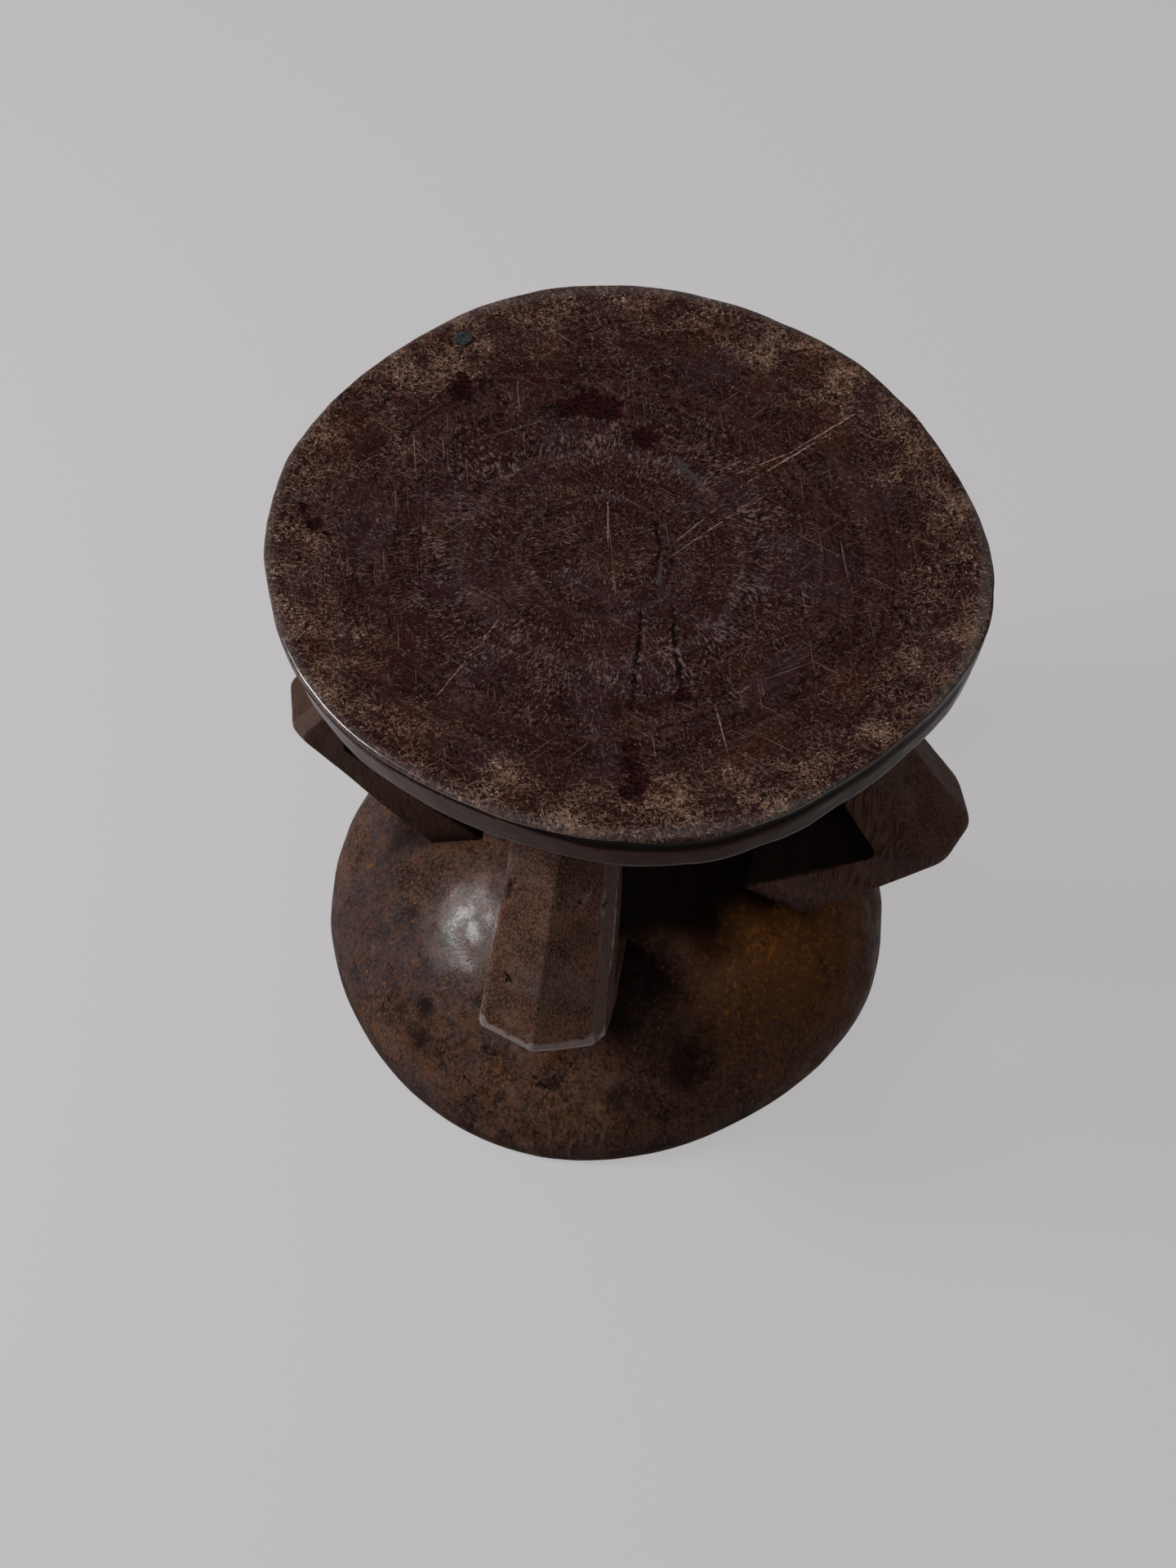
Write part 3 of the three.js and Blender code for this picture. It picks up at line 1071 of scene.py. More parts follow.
    def relief(self, surface: Surface) -> None:
        """Cuts the tool's rings, the gouges and the cracks into the seat's surface.

        Args:
            surface: The seat's surface.
        """
        places = surface.places
        on_top = fade(surface.normals[:, 2], 0.6, 0.95)
        from_middle = away_from(places, self.ring_middle)
        sway = uneven(places, 45, seed=3) * self.ring_sway
        rings = np.sin(math.tau * (from_middle + sway) / self.ring_pitch)
        rings *= fade(from_middle, 128, 90) * (0.55 + 0.45 * uneven(places, 40, seed=5))
        rough = on_top * rings * self.ring_depth + hewn(places, self.rough, seed=7)
        cut = spotted(places, SEAT_GOUGES) + self.crack_share * cracked(places, SEAT_CRACKS)
        surface.push(rough, on_top * cut, self.rough_most)

    def masks(self, surface: Surface, groove: np.ndarray) -> None:
        """Keeps the values that the finish reads, with the groove's depth among them.

        Args:
            surface: The seat's surface.
            groove: The groove's depth at each point.
        """
        places = surface.places
        level, facing = places[:, 2], surface.normals[:, 2]
        out = away_from(places, self.aside)
        worn = fade(out + 9 * uneven(places, 36, seed=11), 100, 140)
        worn *= 0.6 + 0.15 * uneven(places, 22, seed=12)
        worn += 0.15 * uneven(places, 18, seed=13) + 0.3 * spotted(places, SEAT_WORN)
        below = fade(level, self.height - 1.5, self.height - 4) * fade(facing, 0.9, 0.6)
        beneath = fade(facing, -0.3, -0.75)
        at_lip = np.exp(-(((out - self.radius + 1) / 2.6) ** 2))
        surface.store(
            bulge=surface.bulge(6),
            worn=np.clip(worn, 0, 1),
            gouge=np.minimum(spotted(places, SEAT_GOUGES), 1),
            side=below * (1 - beneath),
            groove=groove,
            # painted shade: the faces that look down are laid near-black
            sheltered=beneath,
            lip=at_lip * fade(level, self.height - 5, self.height - 2),
            plum=uneven(places, 38, seed=14) + spotted(places, SEAT_DARK),
            rust=uneven(places, 30, seed=15),
        )

    def build(self) -> bpy.types.Object:
        """Models the seat and keeps the values that its finish reads.

        Returns:
            The seat.
        """
        made = piece("carved_seat", self.shape())
        surface = Surface(made.data)
        groove = self.cut_groove(surface)
        self.relief(surface)
        self.masks(surface, groove)
        return made


@dataclass(frozen=True)
class SeatFinish(Finish):
    """Dark red-brown end grain, with rings of tool marks, worn fibres near the rim and cracks."""

    seat: Seat
    deep: Colour = screen(19, 7, 6)
    middle: Colour = screen(55, 33, 30)
    plum: Colour = screen(45, 29, 33)
    maroon: Colour = screen(38, 13, 12)
    rust: Colour = screen(68, 34, 16)
    pink: Colour = screen(108, 88, 86)
    tan: Colour = screen(116, 89, 72)
    pale: Colour = screen(162, 135, 120)
    # Near-black for stains and cracks, which is also laid as painted shade.
    stain_and_shade: Colour = screen(14, 5, 5)
    raw: Colour = screen(44, 12, 11)
    ash: Colour = screen(62, 56, 58)
    side: Colour = screen(62, 49, 45)
    relief: float = 0.14
    # The turn and the length of each lot of fibres, and for long scratches their share as well.
    fibre_ways: tuple[Pair, ...] = ((0.2, 3.2), (1.1, 4.0), (1.9, 3.4), (2.7, 4.4))
    scratch_ways: tuple[Point, ...] = (
        (0.42, 38, 0.34),
        (-0.62, 46, 0.3),
        (1.3, 34, 0.32),
        (2.2, 42, 0.28),
    )

    def ticks(self, graph: Graph, place: Wire, clouds: Wire) -> Wire:
        """Short radial marks that a tool leaves in rings.

        Args:
            graph: The material's graph.
            place: The place on the surface.
            clouds: A soft noise that makes the marks denser here and there.

        Returns:
            The marks' mask.
        """
        from_middle = place - (*self.seat.ring_middle, 0)
        x, y, _ = graph.outputs(graph.new("ShaderNodeSeparateXYZ", {0: from_middle})).values()
        out = graph.joined(x, y).length()
        turn = graph.math("ARCTAN2", y + (place.noise(42, detail=1) - 0.5) * 45, x)
        wander = out + place.noise(30) * 14
        band = graph.math("FLOOR", wander / self.seat.ring_pitch)
        around = turn * (band + 0.5) * (self.seat.ring_pitch / 0.9)
        marks = graph.joined(out * 0.4, around, band * 7.3).noise(1, detail=2, rough=0.55)
        strength = graph.joined(band * 3.7, 0).noise(1, detail=0)
        limit = 0.89 - (strength * 0.2 + clouds * 0.4)
        return marks.fade(limit, limit + 0.1) * out.fade(122, 94)

    def material(self) -> bpy.types.Material:
        """Builds the seat's material: the wood and its rings, the fibres, the marks, and the rim.

        Returns:
            The material.
        """
        material, graph, place = self.begin("seat_wood")
        flat = place * (1, 1, 0.3)
        worn = graph.stored("worn")
        fine = flat.noise(1.7, rough=0.7)
        clouds = place.noise(14, detail=4)

        out = ((place - (*self.seat.ring_middle, 0)) * (1, 1, 0)).length()
        wander = out * 0.16 + place.noise(34) * 2.4
        rings = graph.joined(wander, 0).noise(1, detail=2)
        arcs = graph.joined(wander * 3.6, clouds).noise(1, detail=2)
        ticks = self.ticks(graph, place, clouds)
        plum, rust = graph.stored("plum"), graph.stored("rust")
        colour = graph.paint(
            graph.mix((fine * 0.72 + arcs * 0.28).fade(0.44, 0.58), self.deep, self.middle),
            (plum.ragged(clouds, 1.6, 0.2, 0.9), 0.4, self.plum),
            (rust.ragged(clouds, 1.6, 0.3, 1.0), 0.2, self.rust),
            ((plum * -1).ragged(clouds, 1.6, 0.4, 1.1), 0.45, self.maroon),
            (rings.fade(0.5, 0.68), 0.5, self.deep),
            (rings.fade(0.46, 0.3), 0.35, self.ash),
            (ticks, 0.62, self.pink),
        )

        fibres = self.strokes(graph, flat, 0.8, worn * 0.34 + 0.4, *self.fibre_ways)
        specks = flat.noise(1.5, detail=2, rough=0.7).fade(worn.fade(0, 1, 0.68, 0.55), 0.7)
        bare = (flat + (40, 12, 7)).noise(7, detail=4, rough=0.7)
        strength = worn * 0.45 + 0.35
        colour = graph.paint(
            colour,
            (fibres, strength, self.tan),
            (specks, strength, self.pale),
            (bare.fade(0.52, 0.6), 0.6, self.maroon),
        )

        lots = (self.strokes(graph, flat, 0.7, share, way) for *way, share in self.scratch_ways)
        scratches = graph.largest(*lots)
        hewn = place + (0, 0, self.seat.rough_most)
        long_marks = self.lines(graph, hewn, SEAT_SCRATCHES, sway=0.25)
        marks = graph.largest(scratches * 0.5, long_marks * fine.fade(0.3, 0.6, 0.45, 1.0))
        gouges = graph.stored("gouge").ragged(flat.noise(4, rough=0.65), 1.7, 0.38, 0.46)
        cracks = self.lines(graph, hewn, SEAT_CRACKS)
        colour = graph.paint(
            colour,
            (marks, 0.55, self.pale),
            (gouges, 0.9, self.raw),
            (gouges, fine.fade(0.44, 0.58, 1.0, 0.1), self.stain_and_shade),
            (self.lines(graph, hewn, SEAT_FILLED), 0.7, self.ash),
            (cracks, 0.95, self.stain_and_shade),
        )

        side, lip = graph.stored("side"), graph.stored("lip")
        streaks = (place * (0.08, 0.08, 0.9)).noise(1, detail=4)
        rubbed, cornered = self.wear(graph, place, 0.12, 0.5)
        colour = graph.paint(
            graph.mix(side, colour, graph.mix(streaks.fade(0.3, 0.7), self.side, self.middle)),
            (lip * clouds.fade(0.3, 0.6), 0.25, self.side),
            # Painted shade: the groove under the lip and the faces that look down are laid
            # near-black. The corners are darker too.
            (graph.stored("groove").fade(0.35, 0.9), 0.9, self.stain_and_shade),
            (rubbed, 0.35, self.ash),
            (cornered, 0.85, self.stain_and_shade),
            (graph.stored("sheltered"), 0.8, self.stain_and_shade),
        )

        polish = graph.largest(side, lip)
        height = fine * 0.7 + ticks * 0.3 - graph.largest(marks, cracks, gouges) * 0.8
        feeds = {
            "Base Color": colour,
            "Roughness": polish.fade(0, 1, 0.55, 0.24),
            "Specular IOR Level": lip.fade(0.1, 0.8, 0.03, 0.5) + side * 0.05,
        }
        self.end(graph, feeds, height * polish.fade(0, 1, 1, 0.25), self.relief)
        return material


# Base


@dataclass
class Base:
    """The domed base with its worn foot and the hollow beneath it."""

    radius: float = 139.7
    crown: float = 101
    crown_aside: float = 5.5
    fullness: float = 1.9
    foot_round: float = 5
    foot_ring: float = 30
    hollow: float = 22
    turn_steps: int = 380
    dome_rings: int = 96
    hollow_rings: int = 30
    foot_rings: int = 10
    round_steps: int = 6
    rough: tuple[Pair, ...] = ((46, 0.45), (17, 0.16), (6, 0.045))
    rough_most: float = 0.5
    pit_depth: float = 0.5
    pit_count: int = 3
    waves: tuple[Wave, ...] = (Wave(2, 1.6, 52), Wave(3, 0.85, 14), Wave(4, 1.8, -4))
    # Round this middle the dome is painted near-black as the shade under the seat, fading between
    # the two distances below.
    shade_middle: tuple[float, float] = (20, -6)
    shade_from: float = 84
    shade_to: float = 50
    flank: Spot = Spot((92, -34, 74), 48, 1)
    # How far the shade painted round the legs' feet spreads.
    grime_width: float = 5

    def height_at(self, out: np.ndarray) -> np.ndarray:
        """The height of the dome at distances from the axis."""
        share = np.clip(out / self.radius, 0, 1)
        rise = self.crown - self.foot_round
        return self.foot_round + rise * (1 - share**self.fullness) ** (1 / self.fullness)

    def profile(self) -> list[Pair]:
        """The outline from the axis in the hollow, round the foot, to the top of the dome.

        Returns:
            The distances from the axis and the heights of its points.
        """
        inside = self.radius - self.foot_round - self.foot_ring
        rise, power = self.crown - self.foot_round, 2 / self.fullness
        hollow = [(inside * s, self.hollow * (1 - s**2)) for s in shares(self.hollow_rings)]
        foot = [(inside + self.foot_ring * s, 0) for s in shares(self.foot_rings)]
        edge = [
            (self.radius - self.foot_round * (1 - math.sin(a)), self.foot_round * (1 - math.cos(a)))
            for a in quarter(self.round_steps)
        ]
        dome = [
            (self.radius * math.cos(a) ** power, self.foot_round + rise * math.sin(a) ** power)
            for a in quarter(self.dome_rings)
        ]
        return [*hollow[:-1], *foot[:-1], *edge[:-1], *dome[:-1], (0, self.crown)]

    def shape(self) -> Shape:
        """The base turned from its profile, out of round, with its crown to one side.

        Returns:
            The base's shape.
        """
        shape = lathe(self.profile(), self.turn_steps)
        out_of_round(shape, self.waves, self.radius)
        lean = Matrix.Identity(4)
        lean[0][2] = self.crown_aside / self.crown
        bmesh.ops.transform(shape, matrix=lean, verts=shape.verts)
        refine_near(shape, BASE_CRACKS)
        return shape

    def relief(self, surface: Surface) -> None:
        """Gives the dome the flats of the tool, its pits and its cracks.

        Args:
            surface: The base's surface.
        """
        places = surface.places
        off_floor = fade(places[:, 2], 0.5, 6)
        rough = off_floor * (hewn(places, self.rough, seed=21) - self.rough_most) + self.rough_most
        pits = self.pit_depth * spotted(places, BASE_STAINS[: self.pit_count])
        surface.push(rough, off_floor * (pits + cracked(places, BASE_CRACKS)), self.rough_most)

    def build(self, legs: Sequence["Leg"]) -> bpy.types.Object:
        """Models the base and keeps the values that its finish reads.

        Args:
            legs: The legs that stand on it, round whose feet shade is painted.

        Returns:
            The base.
        """
        made = piece("domed_base", self.shape())
        surface = Surface(made.data)
        self.relief(surface)
        places = surface.places
        from_leg = np.minimum.reduce([leg.from_foot(places) for leg in legs])
        from_shade = away_from(places, self.shade_middle) + 5 * uneven(places, 30, seed=24)
        dark = fade(from_shade, self.shade_from, self.shade_to)
        beneath = fade(surface.normals[:, 2], -0.2, -0.7)
        surface.store(
            bulge=surface.bulge(6),
            # painted shade: darker round the legs' feet
            grime=np.exp(-from_leg / self.grime_width),
            # painted shade: near-black on the dome under the seat and on the faces that look down
            sheltered=np.where(beneath > 0, 0.7 * beneath, dark),
            flank=spotted(places, [self.flank]),
            stained=np.minimum(spotted(places, BASE_STAINS), 1),
            # grey at random, and a grey sheen painted on the left flank, which faces the lamp
            cold=uneven(places, 60, seed=25) * 0.6 + 0.6 * fade(places[:, 0], -10, -90),
            streaked=np.minimum(spotted(places, BASE_STREAKS), 1),
            polish=np.minimum(spotted(places, BASE_POLISHED), 1),
            edge=fade(places[:, 2], 16, 2) * (1 - beneath),
        )
        return made


@dataclass(frozen=True)
class BaseFinish(Finish):
    """Polished brown wood with warm and cold patches, dark stains, streaks, scratches and pits,
    with shade painted under the seat and round the legs' feet and a grey sheen painted on its left
    flank.
    """

    deep: Colour = screen(34, 23, 19)
    middle: Colour = screen(82, 57, 48)
    warm: Colour = screen(98, 60, 27)
    gold: Colour = screen(136, 80, 28)
    cold: Colour = screen(48, 44, 48)
    # Near-black for stains and cracks, which is also laid as painted shade.
    stain_and_shade: Colour = screen(17, 12, 11)
    worn: Colour = screen(120, 94, 76)
    # The near-black of the painted shade.
    shade_black: Colour = screen(4, 3, 3)
    relief: float = 0.14

    def material(self) -> bpy.types.Material:
        """Builds the base's material: the wood and its patches, the marks of use, and the painted
        shade.

        Returns:
            The material.
        """
        material, graph, place = self.begin("base_wood")
        flank, sheltered, polish = (graph.stored(name) for name in ("flank", "sheltered", "polish"))
        fibre = graph.effect(self.effects.fibre, place=place, width=1.3, length=24)
        fine = place.noise(2, detail=4, rough=0.68)
        clouds = place.noise(18, detail=5, rough=0.62)
        spots = (place + (7, 33, 80)).noise(10, detail=5, rough=0.68)
        blots = (place + (15, 66, 23)).noise(15, detail=6, rough=0.72)
        limit = flank.fade(0, 0.95, 0.66, 0.54)
        flecks = place.noise(3.6, rough=0.62).fade(limit, limit + 0.04)
        stained = graph.stored("stained").ragged(fine, 1.8, 0.3, 0.6)
        tone = clouds * 0.3 + fibre["Streak"] * 0.28 + fine * 0.42
        colour = graph.paint(
            graph.mix(tone.fade(0.42, 0.58), self.deep, self.middle),
            # Grey patches at random, and a painted grey sheen on the left flank towards the lamp.
            (graph.stored("cold").ragged(clouds, 2.0, 0.3, 1.0), 0.45, self.cold),
            (spots.fade(0.48, 0.66), 0.3, self.warm),
            (flank, 0.85, self.warm),
            (blots.fade(0.57, 0.66), 0.6, self.stain_and_shade),
            (fibre["Pores"], 0.45, self.stain_and_shade),
            (flecks, 0.6, self.gold),
            (stained, 0.8, self.stain_and_shade),
            (self.lines(graph, place, BASE_CRACKS), 0.9, self.stain_and_shade),
        )

        streaks = self.strokes(graph, place, 0.9, 0.2, (0.9, 0.9))
        scratches = self.strokes(graph, place, 0.9, 0.36, (0.5, 26), (2.3, 26))
        nicks = self.strokes(graph, place, 1.3, 0.42, (1.3, 12))
        upright = (place * (0.5, 0.5, 0.035)).noise(1, rough=0.55)
        scraped = upright.fade(graph.stored("streaked").fade(0, 1, 0.64, 0.46), 0.7)
        rubbed, _ = self.wear(graph, place, 0.1, 0.5)
        colour = graph.paint(
            colour,
            (scraped, 0.4, self.worn),
            (nicks, 0.6, self.stain_and_shade),
            (graph.largest(streaks, scratches), 0.35, self.worn),
            (rubbed, 0.4, self.worn),
            (graph.stored("edge"), 0.5, self.stain_and_shade),
            # Painted shade: darker round the legs' feet, near-black under the seat and on the faces
            # that look down.
            (graph.stored("grime"), 0.75, self.stain_and_shade),
            (sheltered, 0.97, self.shade_black),
        )

        gloss = (place + (3, 8, 60)).noise(9, detail=4, rough=0.65)
        dull = gloss.fade(0.4, 0.6, 0.2, 0.38) + scratches * 0.2
        dull = dull + polish.fade(0, 0.5, 0.18, 0) + sheltered * 0.4
        height = fibre["Streak"] * 0.5 + fine * 0.6 - graph.largest(scratches, stained) * 0.5
        shine = polish.fade(0.1, 0.8, 0.02, 0.2) * (1 - sheltered)
        feeds = {"Base Color": colour, "Roughness": dull, "Specular IOR Level": shine}
        self.end(graph, feeds, height, self.relief)
        return material


# Legs


@dataclass(frozen=True)
class Station:
    """One cut across a leg: its inner and outer points in the leg's plane, width and ridge."""

    near: Vector
    far: Vector
    width: float
    ridge: float

    def towards(self, other: "Station", share: float) -> "Station":
        """A station part of the way to another one.

        Args:
            other: The other station.
            share: How far towards it, from 0 to 1.

        Returns:
            The station between them.
        """
        return Station(
            self.near.lerp(other.near, share),
            self.far.lerp(other.far, share),
            self.width + (other.width - self.width) * share,
            self.ridge + (other.ridge - self.ridge) * share,
        )


@dataclass
class Leg:
    """A bent leg with flat sides, chamfered edges and a ridge along its outer face.

    Each leg has its own factors for the reach, height and depth of the knee. aside and ridge_aside
    are shares of the knee's width, to the left as seen from the axis. edge_light and shade say
    how light its edges are and how dark its wood is, and the factor after shade says how dark the
    shade painted on its inner faces is.
    """

    side: str
    seat: Seat
    base: Base
    seed: int
    direction: float
    reach: float
    height: float
    depth: float
    aside: float
    ridge_aside: float
    left_chamfer: float = 5
    right_chamfer: float = 5
    edge_light: float = 0.35
    shade: float = 0.1
    # How near-black the shade painted on the inner faces is.
    shade_black: float = 0.75
    worn_edge: float = 1.0
    nose: float = 26
    nose_passes: int = 8
    knee_reach: float = 163
    knee_height: float = 139
    knee_depth: float = 40
    knee_round: float = 5
    notch_round: float = 6
    upper_ridge_angle: float = 54
    upper_inner_angle: float = 60
    lower_ridge_angle: float = 48
    lower_inner_angle: float = 39
    top_width: float = 38
    knee_width: float = 55
    foot_width: float = 48
    keel: float = 10
    inner_chamfer: float = 1.5
    spacing: float = 1.8
    longest_edge: float = 2.43
    round_steps: int = 6
    sunk: float = 8
    foot_from_axis: float = 85
    foot_slope: float = 29
    rough: tuple[Pair, ...] = ((48, 0.4), (14, 0.06), (5, 0.025))
    rough_most: float = 0.45

    @property
    def knee(self) -> float:
        """The height of the ridge at the knee."""
        return self.knee_height * self.height

    @property
    def turn(self) -> float:
        """The leg's direction in radians."""
        return math.radians(self.direction)

    def corners(self) -> list[Station]:
        """The stations where the leg changes: its two ends and the steps round the knee.

        Returns:
            The stations, from the seat down to the base.
        """
        ridge = Vector((self.knee_reach * self.reach, self.knee))
        notch = Vector((ridge.x - self.knee_depth * self.depth, self.knee - self.notch_round / 2))
        ends = []
        for level, ridge_angle, inner_angle in (
            (self.seat.under_edge, self.upper_ridge_angle, self.upper_inner_angle),
            (self.base.foot_round, self.lower_ridge_angle, self.lower_inner_angle),
        ):
            far = ridge.x - abs(level - ridge.y) / math.tan(math.radians(ridge_angle))
            near = notch.x - abs(level - notch.y) / math.tan(math.radians(inner_angle))
            ends.append((Vector((near, level)), Vector((far, level))))
        (near_top, far_top), (near_foot, far_foot) = ends
        outer = rounded_corner(far_top, ridge, far_foot, self.knee_round, self.round_steps)
        inner = rounded_corner(near_top, notch, near_foot, self.notch_round, self.round_steps)
        return [self.station(near, far) for near, far in [ends[0], *zip(inner, outer), ends[1]]]

    def station(self, near: Vector, far: Vector) -> Station:
        """The station at a pair of points, with its width and its ridge from its height.

        Args:
            near: The inner point.
            far: The outer point.

        Returns:
            The station.
        """
        from_knee = (near.y + far.y) / 2 - self.knee
        if from_knee > 0:
            end, end_width = self.seat.under_edge, self.top_width
        else:
            end, end_width = self.base.foot_round, self.foot_width
        share = abs(from_knee) / abs(end - self.knee)
        width = self.knee_width + (end_width - self.knee_width) * share
        return Station(near, far, width, self.knee_width * self.ridge_aside * (1 - share))

    def stations(self) -> list[Station]:
        """All stations, close enough together for a fine mesh.

        Returns:
            The stations, from the seat down to the base.
        """
        corners = self.corners()
        found = [corners[0]]
        for first, second in zip(corners, corners[1:]):
            run = max((second.far - first.far).length, (second.near - first.near).length)
            steps = max(1, round(run / self.spacing))
            found += [first.towards(second, share) for share in shares(steps)[1:]]
        return found

    def section(self, station: Station) -> list[Vector]:
        """The corners of the cut across the leg at a station.

        Args:
            station: The station.

        Returns:
            The corners, in order round the cut.
        """
        outwards = station.far - station.near
        depth = outwards.length
        outwards.normalize()
        side, shoulder = station.width / 2, depth - self.keel
        left, right, inner = self.left_chamfer, self.right_chamfer, self.inner_chamfer
        flat = [
            (inner - side, 0),
            (side - inner, 0),
            (side, inner),
            (side, shoulder - left),
            (side - left, shoulder + self.keel * left / side),
            (station.ridge, depth),
            (right - side, shoulder + self.keel * right / side),
            (-side, shoulder - right),
            (-side, inner),
        ]
        aside = self.knee_width * self.aside
        points = [(station.near + outwards * y, x + aside) for x, y in flat]
        return [Vector((point.x, across, point.y)) for point, across in points]

    def shape(self) -> Shape:
        """The leg bridged from its sections, with worn edges, cut off inside the seat and the base.

        Returns:
            The leg's shape.
        """
        shape = bmesh.new()
        loops = []
        for station in self.stations():
            verts = [shape.verts.new(point) for point in self.section(station)]
            loops.append([shape.edges.new(pair) for pair in zip(verts, verts[1:] + verts[:1])])
        across = {edge for loop in loops for edge in loop}
        for first, second in zip(loops, loops[1:]):
            bmesh.ops.bridge_loops(shape, edges=first + second)
        bmesh.ops.bevel(
            shape,
            geom=[edge for edge in shape.edges if edge not in across],
            offset=self.worn_edge,
            offset_type="OFFSET",
            affect="EDGES",
            segments=3,
            profile=0.5,
            material=-1,
            clamp_overlap=True,
        )
        self.cut_ends(shape)
        refine(shape, self.longest_edge, 5)
        open_edges = [edge for edge in shape.edges if edge.is_boundary]
        bmesh.ops.holes_fill(shape, edges=open_edges, sides=0)
        bmesh.ops.recalc_face_normals(shape, faces=shape.faces)
        bmesh.ops.transform(shape, matrix=Matrix.Rotation(self.turn, 4, "Z"), verts=shape.verts)
        return shape

    def cut_ends(self, shape: Shape) -> None:
        """Cuts the leg off a little way inside the seat and inside the dome.

        Args:
            shape: The leg's shape.
        """
        top = self.seat.under_edge - self.seat.bowl / 2
        foot = float(self.base.height_at(np.array(self.foot_from_axis))) - self.sunk
        slope = math.radians(self.foot_slope)
        planes = (
            (Vector((0, 0, top)), Vector((0, 0, -1))),
            (Vector((self.foot_from_axis, 0, foot)), Vector((math.sin(slope), 0, math.cos(slope)))),
        )
        for place, normal in planes:
            bmesh.ops.bisect_plane(
                shape,
                geom=[*shape.verts, *shape.edges, *shape.faces],
                plane_co=place,
                plane_no=normal,
                clear_inner=True,
            )

    def split(self, values: np.ndarray) -> tuple[np.ndarray, np.ndarray]:
        """The parts of places or directions that lie along the leg's way out, and to its left."""
        x, y = values[:, 0], values[:, 1]
        along = x * math.cos(self.turn) + y * math.sin(self.turn)
        return along, y * math.cos(self.turn) - x * math.sin(self.turn)

    def seen(self, places: np.ndarray) -> tuple[np.ndarray, np.ndarray]:
        """How far places lie out along the leg, and across from its middle."""
        along, across = self.split(places)
        return along, across - self.knee_width * self.aside

    def from_foot(self, places: np.ndarray) -> np.ndarray:
        """How far places on the dome lie from the leg's foot.

        Args:
            places: Points in space, one in each row.

        Returns:
            The distances, which are endless on the floor.
        """
        along, across = self.seen(places)
        along = np.abs(along - self.foot_from_axis) - self.foot_width / 3
        across = np.abs(across) - self.foot_width / 2
        outside = np.hypot(np.maximum(along, 0), np.maximum(across, 0))
        return np.where(places[:, 2] > self.base.foot_round, outside, math.inf)

    def masks(self, surface: Surface) -> None:
        """Keeps the values that the finish reads.

        Args:
            surface: The leg's surface.
        """
        places = surface.places
        level = places[:, 2]
        _, across = self.seen(places)
        outwards, leftwards = self.split(surface.normals)
        out = np.hypot(places[:, 0], places[:, 1])
        over_dome = np.maximum(level - self.base.height_at(out), 0)
        under_seat = np.maximum(self.seat.underside_height(out) - level, 0)
        on_edge = np.maximum(fade(np.abs(across), 8, 14), fade(np.abs(level - self.knee), 7, 3))
        in_shade = fade(under_seat, 60, 15) * fade(out, 138, 108)
        surface.store(
            bulge=surface.bulge(4) * on_edge * self.edge_light,
            chamfer=fade(leftwards, 0.35, 0.55) * fade(outwards, 0.2, 0.4) * self.edge_light,
            shade=np.full(len(places), self.shade),
            # painted shade: darker near the dome and under the seat, near-black on the inner faces
            # and in the seat's shade
            grime=np.minimum(np.exp(-over_dome / 6) + np.exp(-under_seat / 9), 1),
            sheltered=np.maximum(self.shade_black * fade(outwards, 0.0, -0.45), in_shade),
            pale=uneven(places, 50, self.seed + 3),
        )

    def build(self) -> bpy.types.Object:
        """Models the leg, hews its surface and keeps the values that its finish reads.

        Returns:
            The leg.
        """
        made = piece(f"bent_leg_{self.side}", self.shape())
        surface = Surface(made.data)
        along, _ = self.seen(surface.places)
        from_nose = np.hypot(along - self.knee_reach * self.reach, surface.places[:, 2] - self.knee)
        surface.soften(0.8 * fade(from_nose, self.nose, self.nose / 3), self.nose_passes)
        rough = hewn(surface.places, self.rough, self.seed)
        surface.push(rough, cracked(surface.places, LEG_CRACKS), self.rough_most)
        self.masks(surface)
        return made


